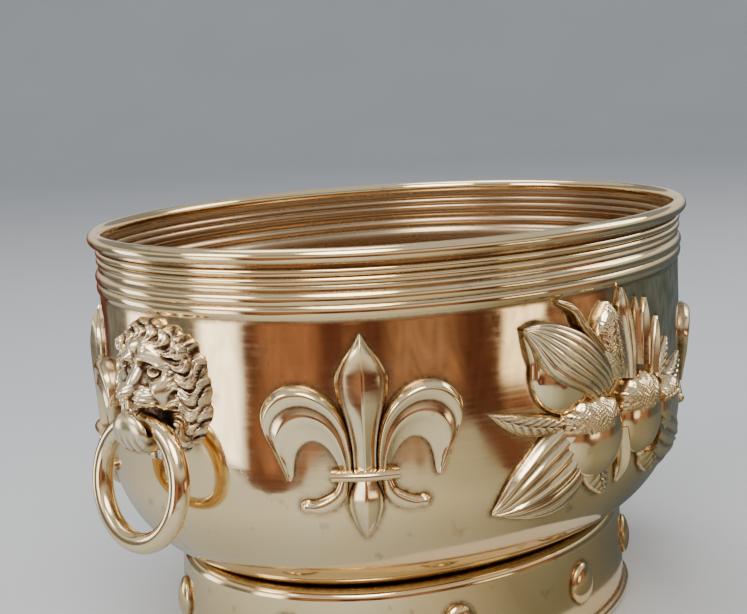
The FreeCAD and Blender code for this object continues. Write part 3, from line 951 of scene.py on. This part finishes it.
SPRAY: list[Dome | Blade] = [
    # leaves behind, left and right
    Blade(((-69, 80.2), (-65.5, 87.5), (-60.5, 95), (-53, 102.5), (-46, 108.5), (-40, 112),
           (-35, 113)),
          ((-68.6, 79.2), (-59, 76.4), (-49.5, 74.6), (-40.5, 74.2), (-32.5, 76), (-26, 80.5), (-22, 88)),
          (1.4, 4.0, 5.2, 5.6, 5.4, 5.0, 4.4), Relief.FURROWED, veins=7, columns=60),
    Blade(((-71, 121.8), (-60, 120.4), (-50, 119), (-42, 117.4), (-35, 114.4)),
          ((-70.6, 121.0), (-64, 114.8), (-57, 110.8), (-49, 109), (-41, 109.6)),
          (1.4, 4.0, 5.0, 5.2, 5.0), Relief.VEINED, veins=8),
    Blade(((76, 82.2), (71, 89.5), (64, 96), (56, 102), (48, 107.5), (40, 111)),
          ((75.6, 81.2), (66, 77.6), (56, 75.6), (46, 74.8), (37, 77), (30, 82)),
          (1.2, 2.6, 3.4, 3.8, 3.8, 3.4), Relief.FURROWED, veins=5, columns=48),
    Blade(((78, 121.8), (66, 121.4), (56, 119.8), (47, 118), (38, 115.4)),
          ((77.6, 121.0), (70, 115.8), (61, 112.0), (52, 110), (42, 108.6)),
          (1.2, 2.6, 3.6, 4.0, 3.8), Relief.VEINED, veins=8),
    # upright leaves
    Blade(((-8.7, 159), (-13.5, 153.5), (-16.2, 147), (-15.8, 140), (-13, 133), (-8, 126)),
          ((-7.6, 159), (-2.6, 154), (0.6, 147.5), (2.2, 140), (3, 133), (3, 126)),
          (2.6, 5.6, 7.0, 7.6, 7.2, 6.0), Relief.STIPPLED, columns=44),
    Blade(((3.2, 163), (0.8, 155), (2, 145), (4, 135), (5, 124)),
          ((4.2, 163), (8.6, 155), (11.5, 145), (12, 135), (11, 124)),
          (1.6, 3.6, 4.4, 4.6, 4.2), Relief.FURROWED, veins=3),
    Blade(((15.8, 157), (14.6, 150), (14.6, 141), (15.2, 128)),
          ((16.3, 157), (17.8, 150), (18.2, 141), (18.6, 128)),
          (1.2, 2.8, 3.4, 3.6), Relief.RIDGED, edge=0.14),
    Blade(((25, 155.5), (21.6, 148), (19.6, 139), (19, 127)),
          ((25.6, 155.5), (27.4, 148), (27.6, 139), (26.5, 127)),
          (1.2, 3.2, 4.2, 4.2), Relief.RIDGED, edge=0.14),
    Blade(((38, 145), (34.5, 138), (32, 131), (30, 121)),
          ((38.6, 145), (38.8, 138), (37.4, 131), (35, 121)),
          (1.2, 2.8, 3.6, 3.8), Relief.RIDGED, edge=0.14),
    Blade(((50, 134), (46, 131), (41, 126), (35, 119)),
          ((50.6, 133.4), (49.6, 128), (45.4, 121), (40, 114)),
          (1.2, 2.2, 2.8, 3.2), Relief.VEINED, edge=0.14),
    # husks, stem and small leaves
    Blade(((-36, 163.6), (-28, 160.5), (-22.5, 153), (-14.5, 144), (-7.5, 136), (0, 128.5)),
          ((-37, 161.4), (-30.5, 157), (-26.5, 150.5), (-18.5, 141.5), (-11.5, 133.5), (-5, 126)),
          (2.4, 4.6, 5.2, 5.6, 5.4, 5.0), Relief.FURROWED, veins=2),
    Blade(((-24, 88), (-20, 82.5), (-15, 79), (-10, 76.6)),
          ((-8, 90), (-6.6, 85), (-7, 80.5), (-9.4, 76.4)),
          (4.6, 4.6, 4.0, 1.4), Relief.VEINED, veins=5),
    Blade(((-3, 104), (-2, 95), (-0.6, 87), (1.6, 79.5)), ((6, 104), (7, 94), (5.4, 86), (2.4, 79.5)),
          (5.8, 6.2, 5.2, 1.6), Relief.RIDGED),
    Blade(((18, 88), (20, 82.5), (25, 78.5), (31, 76.6)),
          ((34, 91), (34.5, 86), (33.5, 80.5), (31.6, 76.4)),
          (4.6, 4.6, 4.0, 1.4), Relief.VEINED, veins=5),
    # fruits with their caps
    Dome((-33.5, 132.2), (17.0, 16.6), 8.0, egg=0.04),
    Blade(((-54.5, 153.2), (-51.5, 146), (-49.0, 139.8), (-45.4, 134.2), (-38.6, 129.4),
           (-29.5, 124.8), (-20, 118.6)),
          ((-54.2, 154.2), (-46, 155.6), (-37.4, 153.6), (-28, 149), (-20, 142), (-13, 134),
           (-8, 126.5)),
          (2.6, 6.6, 8.9, 10.2, 10.4, 9.6, 6.6), Relief.FURROWED, edge=0.74, veins=7, columns=60),
    Blade(((-53.5, 150.5), (-51, 140), (-50.8, 131), (-47.4, 123.5), (-41, 118.2)),
          ((-50.5, 151.5), (-46.6, 141), (-45.6, 132), (-42.6, 125.4), (-38.4, 120.6)),
          (1.8, 3.4, 3.8, 3.6, 2.6), Relief.ROUND),
    Dome((-18, 103.6), (18.2, 17.4), 9.6, egg=-0.05),
    Dome((-20, 112.2), (16.8, 10.6), 10.4, scallops=9, stipple=0.30),
    Blade(((-36.6, 101), (-36.4, 108), (-33.6, 114)), ((-31.5, 101), (-29.4, 106), (-25.6, 110)),
          (3.4, 7.4, 9.8), Relief.RIDGED, rows=40),
    Dome((-17.2, 86.2), (1.6, 2.0), 3.4),
    Dome((17.2, 105.4), (16.4, 16.6), 8.4, egg=-0.05),
    Dome((15.6, 114.6), (15.2, 10.2), 9.2, scallops=9, stipple=0.30),
    Dome((18.0, 88.8), (1.6, 2.0), 3.2),
    Dome((43.5, 102.0), (9.5, 12.0), 4.2, egg=-0.05),
    Blade(((52, 114.5), (46, 118), (39, 117), (34, 113)),
          ((52.6, 113.5), (49, 107.6), (42, 105.6), (34, 107)),
          (3.0, 7.4, 8.4, 6.6), Relief.STIPPLED),
]


@dataclass
class Ornament:
    """Raised ornament chased on the wall: four fleurs-de-lis and two fruit sprays."""

    body: PotBody
    left_along: float = -121.5
    right_along: float = 136.0

    def layout(self) -> list[tuple[str, list[Dome | Blade]]]:
        """Every ornament with its parts at their place round the pot.

        Returns:
            Pairs of a name and its parts.
        """
        half = self.body.oval.length / 2
        groups = []
        for side, turn in (("front", 0.0), ("back", half)):
            for hand, at, flip in (("left", self.left_along, 1.0), ("right", self.right_along, -1.0)):
                parts = [part.moved(turn + at, flip) for part in FLEUR]
                groups.append((f"{side}_{hand}_fleur", parts))
            groups.append((f"{side}_spray", [part.moved(turn, 1.0) for part in SPRAY]))
        return groups

    def outlines(self) -> Array:
        """Points (along, height) on the edges of every part."""
        return np.vstack([part.outline() for _, parts in self.layout() for part in parts])

    def build(self) -> None:
        """Make each ornament as one piece."""
        for name, parts in self.layout():
            piece = make_piece(name, [part.skin(self.body.raised) for part in parts], crease=50)
            seat_piece(piece, "pot", ORNAMENT_BRASS)


# ---- lion masks ----------------------------------------------------------------------
@dataclass
class LionMask:
    """Cast lion mask that holds the ring handle in its mouth, drawn at the +X end.

    Its front is a height over the wall at (u, w): u across, w up from its middle. Tiers are (start, end,
    count, bend, height) of the mane's locks. Bar room is the height over the hinge that the ring's bar
    needs, and blur the reach of the Gaussian that sets the painted shade in the hollows.
    """

    body: PotBody
    middle: float = 134.0
    hinge_proud: float = 9.5
    hinge_drop: float = 12.0
    mane: float = 28.6
    jaw_width: float = 10.4
    bar_room: float = 4.9
    ceiling_slope: float = 5.4
    blur: float = 1.3
    tiers: tuple[tuple[float, float, int, float, float], ...] = (
        (12.5, 20.5, 17, 0.30, 2.8), (17.5, 27.0, 21, -0.34, 3.2), (24.0, 34.0, 25, 0.30, 3.0))
    rows: int = 112
    columns: int = 600

    def outline(self, turn: Array) -> Array:
        """Reach of the mane's wavy edge at an angle, longer at the beard."""
        tips = 1.5 * np.abs(np.sin(8.5 * turn + 0.6)) + 0.8 * np.sin(5 * turn + 2)
        return self.mane + tips - 1.0 + 1.6 * bell(np.mod(turn, 2 * np.pi) - 1.5 * np.pi, 0.5)

    def locks(self, u: Array, w: Array) -> Array:
        """Locks of the mane: three tiers of wavy ridges that fan out from the face.

        A lock is a rounded ridge of the angle round the face, bent by a slow wave of the
        distance from its middle; fine hairs run along it.

        Args:
            u: distance across from the mask's middle.
            w: distance up from it.

        Returns:
            Height that the locks add.
        """
        reach = np.hypot(u, 0.92 * (w + 1))
        turn = np.arctan2(w + 1, u)
        total = np.zeros_like(reach)
        for start, end, count, bend, height in self.tiers:
            phase = count * (turn + bend * np.sin((reach - start) / 3.2)) / (2 * np.pi)
            across = 2 * np.abs(np.mod(phase, 1) - 0.5)
            ridge = 1 - across ** 1.7
            hairs = 0.15 * np.sin(2 * np.pi * 3 * phase)
            window = ease(reach, start, start + 2.6) * ease(-reach, -end, -end + 2.6)
            total = np.maximum(total, window * height * (ridge + hairs))
        return total

    def face(self, u: Array, w: Array) -> Array:
        """Height of the face over the wall, built up feature by feature.

        Cheeks, forehead and sockets are bell curves; eyes, bridge, nose tip and muzzle are
        rounded lumps, and the mane takes over outside an oval round the face.

        Args:
            u: distance across from the mask's middle.
            w: distance up from it.

        Returns:
            Height at each point.
        """
        side = np.abs(u)
        mane = 5.2 * ease(-np.hypot(u, w), -31, -14) + 0.9 + self.locks(u, w)
        face = 6.5 + 6.0 * np.exp(-(u / 13.0) ** 2 - ((w - 4) / 15.0) ** 2)
        cheek = 3.4 * np.exp(-((side - 11.5) / 4.4) ** 2 - ((w - 1.5) / 5.2) ** 2)
        forehead = 2.6 * np.exp(-((side - 4.0) / 4.2) ** 2 - ((w - 18.5) / 4.0) ** 2)
        brow_line = 13.2 + 2.0 * np.sin(np.clip(side / 13.0, 0, 1) * np.pi) - 0.10 * side
        brow = 3.6 * bell(w - brow_line, 1.9) * ease(side, 0.8, 3.0) * ease(-side, -16.5, -12.5)
        socket = 4.8 * np.exp(-((side - 7.6) / 3.9) ** 2 - ((w - 9.0) / 2.9) ** 2)
        ball = 2.3 * np.sqrt(np.clip(1 - ((side - 7.5) / 3.0) ** 2 - ((w - 8.8) / 2.1) ** 2, 0, 1))
        lid = 1.5 * bell(w - 10.9 + 0.10 * (side - 7.5) ** 2, 0.7) * bell(side - 7.5, 3.4)
        face = face + cheek + forehead + brow - socket + ball + lid
        bridge = (10.5 + 6.5 * ease(-w, -15, -2)) * np.clip(1 - (side / 5.0) ** 2.2, 0, 1) ** 0.5
        bridge = bridge * ease(-w, -19, -13)
        tip = 20.6 * np.clip(1 - (side / 5.0) ** 2 - ((w - 1.2) / 4.3) ** 2, 0, 1) ** 0.33
        tip = tip - 1.6 * np.exp(-((side - 2.6) / 1.2) ** 2 - ((w + 0.6) / 1.1) ** 2)
        puff = 17.0 * np.clip(1 - ((side - 5.6) / 7.4) ** 2 - ((w + 0.6) / 6.6) ** 2, 0, 1) ** 0.42
        puff = puff + 0.35 * np.cos(2.6 * w + 0.5 * side) * (puff > 6)
        split = 2.4 * bell(side, 0.8) * ease(-w, 0.0, 2.0)
        features = np.maximum(np.maximum(bridge, tip), puff - split)
        inner = ease(-np.hypot(u / 16.2, (w - 4.0) / 18.0), -1.06, -0.90)
        return np.maximum(mane, np.maximum(face, features) * inner + mane * (1 - inner))

    def ears(self, u: Array, w: Array) -> Array:
        """Round ears with a hollow in front.

        Args:
            u: distance across from the mask's middle.
            w: distance up from it.

        Returns:
            Height at each point, nothing away from the ears.
        """
        away = np.hypot((np.abs(u) - 18.0) / 3.4, (w - 17.2) / 3.8)
        shell = 8.6 * np.clip(1 - away ** 4, 0, 1) ** 0.5
        return shell - 2.4 * bell(away, 0.52) * (away < 1)

    def ceiling(self, u: Array, w: Array) -> Array:
        """Greatest height that leaves the ring its swing.

        Under the muzzle the ring's bar lies against the mask; above it, the limit follows
        the raised ring: it climbs steeply from a little way over the hinge.

        Args:
            u: distance across from the mask's middle.
            w: distance up from it.

        Returns:
            Greatest height at each point.
        """
        side = np.abs(u)
        above = w + self.hinge_drop - self.bar_room
        open_up = self.hinge_proud + np.clip(above, 0, None) * self.ceiling_slope
        low = np.where(side < 16.0, 4.3, 5.6)
        return np.where(above > 0, np.maximum(open_up, low), low)

    def relief(self, u: Array, w: Array) -> Array:
        """Height of the whole front over the wall: face, ears, beard and mouth.

        Args:
            u: distance across from the mask's middle.
            w: distance up from it.

        Returns:
            Height at each point, kept under the ceiling.
        """
        height = np.maximum(self.face(u, w), self.ears(u, w))
        beard = 4.6 + 1.3 * np.cos(1.25 * u + 0.8 * np.sin(w / 2.5)) + 0.3 * np.cos(4.2 * u)
        height = np.where((w < -19) & (np.abs(u) < 12), np.maximum(height, beard), height)
        mouth = ease(-np.abs(u), -12.0, -9.0) * ease(w, -18.0, -15.0) * ease(-w, 5.3, 6.2)
        height = height * (1 - mouth) + 1.6 * mouth
        behind = ease(-np.abs(u), -20.5, -18.5) * ease(-w, 6.0, 8.0)
        height = height * (1 - 0.58 * behind) + 0.6 * behind
        return np.minimum(height, self.ceiling(u, w))

    def hollows(self, u: Array, w: Array) -> Array:
        """Tone of painted shade in the hollows, which the finish also reads as tarnish: how far the front
        lies below its own blurred surface.

        The blur is a Gaussian worked out on a square grid through its spectrum.

        Args:
            u: distance across from the mask's middle.
            w: distance up from it.

        Returns:
            Tone from 0 to 1.
        """
        step, half = 0.3, 36.0
        axis = np.arange(-half, half, step)
        grid_u, grid_w = np.meshgrid(axis, axis)
        sheet = self.relief(grid_u, grid_w)
        wave = np.fft.fftfreq(axis.size, step)
        damp = np.exp(-2 * (np.pi * self.blur) ** 2 * (wave[:, None] ** 2 + wave[None] ** 2))
        deep = np.real(np.fft.ifft2(np.fft.fft2(sheet) * damp)) - sheet
        column = np.clip(np.rint((u + half) / step).astype(int), 0, axis.size - 1)
        row = np.clip(np.rint((w + half) / step).astype(int), 0, axis.size - 1)
        return np.clip(0.06 + 2.3 * deep[row, column], 0, 1)

    def place(self, u: Array, w: Array, proud: Array, side: float) -> Array:
        """Points over the wall's end arc, straight out along X.

        Args:
            u: distance across from the mask's middle.
            w: distance up from it.
            proud: distance out from the wall.
            side: 1 at the +X end, -1 at the other.

        Returns:
            Points in mm.
        """
        arc = self.body.oval.end_radius - self.body.wall_inset
        x = self.body.oval.end_centre + np.sqrt(arc ** 2 - u ** 2) + proud
        return np.stack(np.broadcast_arrays(side * x, u, self.middle + w), -1)

    def front(self, side: float) -> Skin:
        """Closed skin of the mask.

        Args:
            side: 1 at the +X end, -1 at the other.

        Returns:
            Rows go from the middle out to the mane's edge and back under to the middle.
        """
        turn = np.linspace(0, 2 * np.pi, self.columns, endpoint=False)[None]
        share = np.linspace(0.004, 1, self.rows)[:, None]
        reach = self.outline(turn)
        u, w = share * reach * np.cos(turn), share * reach * np.sin(turn)
        proud = self.relief(u, w) * ease(-share, -1.0, -0.955) ** 0.6 + 0.25
        # Painted shade: the hollows of the front and the inside of the mouth are darkened.
        dark = self.hollows(u, w)
        mouth = ease(-np.abs(u), -13.0, -9.0) * ease(-w, 5.0, 6.0) * ease(w, -19.0, -14.0)
        dark = np.maximum(dark, mouth)
        under = np.linspace(1, 0.02, 6)[:, None]
        u = np.vstack([u, under * reach * np.cos(turn)])
        w = np.vstack([w, under * reach * np.sin(turn)])
        proud = np.vstack([proud, np.full((6, self.columns), -SUNK)])
        dark = np.vstack([dark, np.ones((6, self.columns))])
        return Skin(self.place(u, w, proud, side), wrap_columns=True, cap_rows=True, shade_and_tarnish=dark)

    def jaw(self, side: float) -> Skin:
        """Chin and lower lip, curled up in front of the ring's bar.

        Its upright profile is scaled towards its middle as it goes across, by
        sqrt(1 - (u / half width)^2), so that the ends are round. Where the hanging bar
        curves down, the chin runs a little way into its underside.

        Args:
            side: 1 at the +X end, -1 at the other.

        Returns:
            A closed skin.
        """
        profile = smooth_curve(np.array([
            (1.0, -23.8), (6.0, -25.2), (12.0, -25.0), (16.4, -22.6), (19.0, -18.6), (20.0, -14.0),
            (19.8, -10.2), (18.2, -7.3), (16.5, -7.3), (15.4, -9.8), (15.0, -13.4), (13.4, -16.4),
            (9.5, -18.0), (6.0, -17.6), (3.2, -17.2), (0.6, -18.5), (0.4, -21.0),
            (1.0, -23.8)]), 110)[:-1]
        centre = np.array([16.6, -16.0])
        across = np.sin(np.linspace(-0.497, 0.497, 41) * np.pi)[:, None]
        scale = np.sqrt(1 - across ** 2)
        proud = centre[0] + scale * (profile[:, 0] - centre[0])[None]
        up = centre[1] + scale * (profile[:, 1] - centre[1])[None]
        strands = np.cos(17 * across + 0.5 * np.sin(up / 2))
        tuft = 0.45 * strands * ease(-up, 14.5, 19)
        u = self.jaw_width * across + 0 * up
        # Painted shade: darker towards the wall, inside the lower lip and between the beard's strands.
        inner_lip = bell(up + 15.0, 4.0) * ease(-proud, -16.6, -14.6)
        dark = np.clip(0.1 + ease(-proud, -10.5, -5.0) + 0.9 * inner_lip
                       + 0.55 * ease(-strands, 0.2, 0.9) * ease(-up, 14.5, 19), 0, 1)
        return Skin(self.place(u, up, proud + tuft, side),
                    wrap_columns=True, cap_rows=True, shade_and_tarnish=dark)

    def build(self) -> None:
        """Make both masks."""
        for name, side in (("left", -1.0), ("right", 1.0)):
            mask = make_piece(name + "_lion", [self.front(side), self.jaw(side)], crease=70)
            seat_piece(mask, "pot", CAST_BRASS, (name + "_mask",))


# ---- ring handles --------------------------------------------------------------------
@dataclass
class RingHandle:
    """Round-bar ring that hangs from the lion's mouth and leans out over its beard."""

    radius: float = 24.7
    bar: float = 4.3
    lean: float = 8.4
    rows: int = 260
    columns: int = 48

    def skin(self, hinge: Vector, side: float) -> Skin:
        """Closed ring.

        A torus about the leaning axis: the bar's middle goes round the ring's radius, and
        each section is a circle that hammering left a little uneven.

        Args:
            hinge: the joint's position in mm.
            side: 1 at the +X end, -1 at the other.

        Returns:
            A closed skin with painted shade where the bar sits in the mouth and along the bar's inner
            side, and a dark line at its butt seam.
        """
        turn = np.linspace(0, 2 * np.pi, self.rows, endpoint=False)[:, None]
        tube = np.linspace(0, 2 * np.pi, self.columns, endpoint=False)[None]
        butt = bell(np.abs(turn - 0.5 * np.pi), 0.006)
        size = self.bar * (1 - 0.004 * (1 + np.sin(5 * turn)) - 0.10 * butt)
        reach = self.radius + size * np.cos(tube)
        lean = math.radians(self.lean)
        down = np.array([side * math.sin(lean), 0.0, -math.cos(lean)])
        out = np.array([side * math.cos(lean), 0.0, math.sin(lean)])
        middle = np.array(hinge) + self.radius * down
        points = (middle + (reach * np.cos(turn))[..., None] * np.array([0.0, 1.0, 0.0])
                  + (reach * np.sin(turn))[..., None] * -down
                  + (size * np.sin(tube))[..., None] * out)
        # Painted shade where the bar sits in the mouth and on its inner side; the butt seam is a dark
        # joint.
        dark = np.clip(0.7 * bell(turn - 0.5 * np.pi, 0.30) * ease(-np.cos(tube), -0.4, 1)
                       + 0.4 * ease(-np.cos(tube), 0.55, 1.0) + butt, 0, 1)
        return Skin(points, wrap_rows=True, wrap_columns=True, shade_and_tarnish=dark)

    def build(self) -> None:
        """Make both rings on their joints' positions."""
        for name, side in (("left", -1.0), ("right", 1.0)):
            joint = next(j for j in frame["joints"] if j["child"] == name + "_ring_handle")
            hinge = Vector(joint["pos_m"]) / MM
            ring = make_piece(name + "_ring_bar", [self.skin(hinge, side)])
            seat_piece(ring, name + "_ring_handle", RING_BRASS, (name + "_ring",))


# ---- pieces kept from the CAD --------------------------------------------------------
@dataclass(frozen=True)
class KeptPieces:
    """CAD pieces that keep their shape and get their finish here.

    A node that another piece stands for is hidden already and only gets a plain finish.
    """

    def build(self) -> None:
        """Dress the floor plate, the wires and the mask fixings."""
        for name, node in frame["nodes"].items():
            if node.hide_render:
                finish = SHEET_BRASS
            elif "wire" in name:
                finish = IRON_WIRE
            elif name == "floor_plate":
                finish = INNER_BRASS
            else:
                finish = FIXING_BRASS
            if not node.material_slots:
                node.data.materials.append(None)
            for slot in node.material_slots:
                slot.material = finish.material()
            LOG.info("%s keeps its shape with %s", name, finish.name)


# ---- studio --------------------------------------------------------------------------
@dataclass(frozen=True)
class Glow:
    """Patch of the reflection screen: angles and heights it covers, colour, softness."""

    angles: tuple[float, float]
    heights: tuple[float, float]
    colour: tuple[float, float, float]
    soft: float = 2.0


@dataclass
class Studio:
    """Plain pale floor, soft lights, a reflection screen and the camera."""

    azimuth: float = 47.574
    distance: float = 684.968
    eye_height: float = 261.866
    pitch: float = 9.662
    yaw: float = -1.057
    roll: float = -2.423
    focal: float = 1463.11
    frame_width: float = 747.0
    screen_radius: float = 535.0
    screen_height: float = 330.0
    table_start: float = 122.0
    table_lift: float = 0.3
    floor_drop: float = 0.2

    def camera(self) -> None:
        """Place the camera and make it the scene's own."""
        view = math.radians(self.azimuth + self.yaw)
        dip, tilt = math.radians(self.pitch), math.radians(self.roll)
        forward = Vector((math.sin(view) * math.cos(dip), math.cos(view) * math.cos(dip),
                          -math.sin(dip)))
        right = Vector((math.cos(view), -math.sin(view), 0))
        up = right.cross(forward)
        across = right * math.cos(tilt) + up * math.sin(tilt)
        upright = up * math.cos(tilt) - right * math.sin(tilt)
        data = bpy.data.cameras.new("studio_camera")
        data.sensor_width = 36.0
        data.lens = data.sensor_width * self.focal / self.frame_width
        data.clip_start = 0.01
        camera = bpy.data.objects.new("studio_camera", data)
        turn = Matrix((across, upright, -forward)).transposed().to_4x4()
        around = math.radians(self.azimuth)
        eye = Vector((-math.sin(around) * self.distance, -math.cos(around) * self.distance,
                      self.eye_height))
        camera.matrix_world = Matrix.Translation(eye * MM) @ turn
        bpy.context.scene.collection.objects.link(camera)
        bpy.context.scene.camera = camera

    def floor(self) -> None:
        """Pale floor that rises into a plain backdrop far from the pot."""
        turn = np.linspace(0, 2 * np.pi, 96, endpoint=False)[None]
        reach = np.array([1.0, 300, 900, 2000, 3000, 3400, 3800, 4100, 4300, 4400, 4450])[:, None]
        rise = np.array([0, 0, 0, 0, 0, 60, 260, 600, 1100, 1800, 3200.0])[:, None]
        points = np.stack(np.broadcast_arrays(
            reach * np.cos(turn), reach * np.sin(turn), rise - self.floor_drop), -1)
        floor = make_piece("studio_floor", [Skin(points, wrap_columns=True)])
        graph = Graph("studio_floor_paint")
        place = graph.node("TexCoord").outputs["Object"]
        tone = graph.blend(graph.noise(place, 3.0, 3.0),
                           (0.50, 0.51, 0.52, 1), (0.56, 0.565, 0.57, 1))
        shader = graph.node("BsdfPrincipled", {"Base Color": tone, "Roughness": 0.7})
        graph.tree.links.new(shader.outputs[0], graph.output.inputs["Surface"])
        floor.data.materials.append(graph.material)

    def screen(self) -> None:
        """Ring-shaped screen that only shows in polished metal.

        Each patch is a soft box in angle and height: the product of two smooth steps
        each way. Between them two browns drift into each other, and high up all fades
        into a pale haze. The colour is kept on the points.
        """
        angle = np.linspace(-180, 180, 721)[:, None]
        height = np.concatenate([np.linspace(-1, 120, 80),
                                 np.linspace(125, self.screen_height, 30)])[None]
        wave = 6 * np.sin(np.radians(5 * angle)) + 3 * np.sin(np.radians(17 * angle))
        base = np.array([0.13, 0.047, 0.032])
        amber = np.array([0.42, 0.20, 0.10])
        haze = np.array([0.86, 0.82, 0.74])
        share = 0.5 + 0.5 * np.sin(np.radians(3.3 * angle + 40) + height / 60)
        share = ease(share, 0.55, 1.0) * (0.6 + 0.4 * np.sin(height / 9 + np.radians(23 * angle)))
        colour = base + (amber - base) * share[..., None]
        for glow in self.glows():
            box = (ease(angle + 0.10 * wave, glow.angles[0] - glow.soft, glow.angles[0] + glow.soft)
                   * ease(-angle - 0.10 * wave, -glow.angles[1] - glow.soft,
                          -glow.angles[1] + glow.soft)
                   * ease(height + 0.4 * wave, glow.heights[0] - 4, glow.heights[0] + 4)
                   * ease(-height, -glow.heights[1] - 6, -glow.heights[1] + 6))[..., None]
            colour = colour * (1 - box) + np.array(glow.colour) * box
        colour = colour * (1 + 0.30 * np.sin(height / 6 + 3 * np.sin(np.radians(31 * angle)))
                           * np.sin(np.radians(43 * angle) + height / 15))[..., None]
        fade = ease(height, 140, 260)[..., None]
        colour = colour * (1 - fade) + haze * fade
        around = np.radians(angle)
        points = np.stack(np.broadcast_arrays(self.screen_radius * np.sin(around),
                                              -self.screen_radius * np.cos(around), height), -1)
        self.glow_piece("reflection_screen", points[:-1], colour[:-1])

    def glow_piece(self, name: str, points: Array, colour: Array) -> None:
        """Make a lit stage piece that shows in reflections only.

        Args:
            name: the object's name.
            points: its grid, closed round its rows.
            colour: light that each point gives.
        """
        piece = make_piece(name, [Skin(points, wrap_rows=True)])
        paint = piece.data.color_attributes.new("paint", "FLOAT_COLOR", "POINT")
        rgba = np.concatenate([colour, np.ones_like(colour[..., :1])], -1)
        paint.data.foreach_set("color", rgba.astype(np.float32).reshape(-1))
        graph = Graph(name + "_paint")
        shown = graph.node("Attribute", attribute_name="paint").outputs["Color"]
        light = graph.node("Emission", {"Color": shown, "Strength": 1.0})
        graph.tree.links.new(light.outputs[0], graph.output.inputs["Surface"])
        piece.data.materials.append(graph.material)
        for ray in ("camera", "diffuse", "shadow", "transmission", "volume_scatter"):
            setattr(piece, "visible_" + ray, False)

    def glows(self) -> list[Glow]:
        """Bright windows and warm patches round the screen.

        Returns:
            Patches in the order they are laid over each other.
        """
        white, cream = (3.6, 3.7, 3.8), (2.4, 2.1, 1.6)
        amber, bronze, umber = (0.40, 0.19, 0.11), (0.36, 0.19, 0.115), (0.105, 0.040, 0.028)
        steel, slate = (0.20, 0.205, 0.20), (0.10, 0.125, 0.14)
        return [
            Glow((-176, -110), (-20, 400), steel, 3),
            Glow((-82, -60), (-20, 150), amber, 4),
            Glow((-107, -91), (-20, 200), white, 3),
            Glow((-50, -44), (30, 80), amber, 2),
            Glow((-34, -13), (-20, 140), bronze, 4),
            Glow((-11, 4), (-20, 140), umber, 3),
            Glow((3, 17), (36, 112), cream, 1.5),
            Glow((20, 36), (-20, 130), bronze, 4),
            Glow((42, 112), (-20, 400), slate, 6),
            Glow((126, 144), (12, 200), white, 3),
            Glow((150, 166), (-20, 130), bronze, 4),
            Glow((-150, -134), (8, 200), white, 3),
        ]

    def table(self) -> None:
        """Flat ring just over the floor that only shows in polished metal.

        It is a painted reflection of a tabletop: pale in front and to the left, duller to the right as
        painted shade, darker close to the pot as a painted contact shadow, and brown beyond a wavy edge.
        """
        angle = np.linspace(-180, 180, 361)[:, None]
        reach = np.linspace(self.table_start, self.screen_radius, 70)[None]
        brown = np.array([0.16, 0.065, 0.042])
        stops = (-180, -120, -60, -20, 5, 30, 60, 90, 140, 180)
        shades = np.array([(0.44, 0.45, 0.46), (0.74, 0.80, 0.84), (0.90, 0.96, 0.98),
                           (0.68, 0.69, 0.62), (0.33, 0.32, 0.25), (0.27, 0.28, 0.24),
                           (0.17, 0.185, 0.18), (0.13, 0.15, 0.16), (0.32, 0.33, 0.34),
                           (0.44, 0.45, 0.46)])
        shade = np.stack([np.interp(angle, stops, shades[:, part]) for part in range(3)], -1)
        # Painted contact shadow: the reflected tabletop darkens close to the pot.
        colour = shade * (0.66 + 0.34 * ease(reach, 125, 270))[..., None]
        edge = (self.screen_radius - 120 * bell(angle + 80, 12) - 135 * bell(angle - 3, 9)
                - 14 * np.sin(np.radians(13 * angle)) - 6 * np.sin(np.radians(57 * angle)))
        beyond = ease(reach, edge - 4, edge + 4)[..., None]
        colour = colour * (1 - beyond) + brown * beyond
        around = np.radians(angle)
        points = np.stack(np.broadcast_arrays(
            reach * np.sin(around), -reach * np.cos(around), self.table_lift), -1)
        self.glow_piece("reflection_table", points[:-1], colour[:-1])

    def lights(self) -> None:
        """Soft round lights: the key in front, one towards each end and one overhead."""
        plan = (("key_light", (-0.9, -0.9, 1.5), 1.1, 26.0, (1.0, 0.98, 0.95)),
                ("left_light", (-1.6, 0.4, 0.9), 0.9, 14.0, (0.96, 0.98, 1.0)),
                ("right_light", (1.5, -0.7, 1.1), 0.9, 10.0, (1.0, 0.97, 0.93)),
                ("top_light", (0.1, 0.5, 1.9), 1.2, 14.0, (1.0, 1.0, 1.0)))
        for name, spot, size, power, colour in plan:
            data = bpy.data.lights.new(name, "AREA")
            data.shape = "DISK"
            data.size = size
            data.energy = power
            data.color = colour
            light = bpy.data.objects.new(name, data)
            aim = (Vector((0, 0, 0.1)) - Vector(spot)).to_track_quat("-Z", "Y")
            light.matrix_world = Matrix.Translation(spot) @ aim.to_matrix().to_4x4()
            light.visible_camera = False
            bpy.context.scene.collection.objects.link(light)

    def sky(self) -> None:
        """Even pale light from all round."""
        world = bpy.data.worlds.new("studio_air")
        world.use_nodes = True
        world.node_tree.nodes["Background"].inputs["Color"].default_value = (0.80, 0.84, 0.90, 1)
        world.node_tree.nodes["Background"].inputs["Strength"].default_value = 0.75
        bpy.context.scene.world = world

    def build(self) -> None:
        """Set up the whole studio."""
        self.camera()
        self.floor()
        self.screen()
        self.table()
        self.lights()
        self.sky()


def main() -> None:
    """Build every piece in order."""
    logging.basicConfig(level=logging.INFO, format="%(name)s %(message)s")
    Studio().build()
    body = PotBody()
    ornament = Ornament(body)
    body.build(ornament.outlines())
    FootBand().build()
    ornament.build()
    LionMask(body).build()
    RingHandle().build()
    KeptPieces().build()


if __name__ == "__main__":
    main()
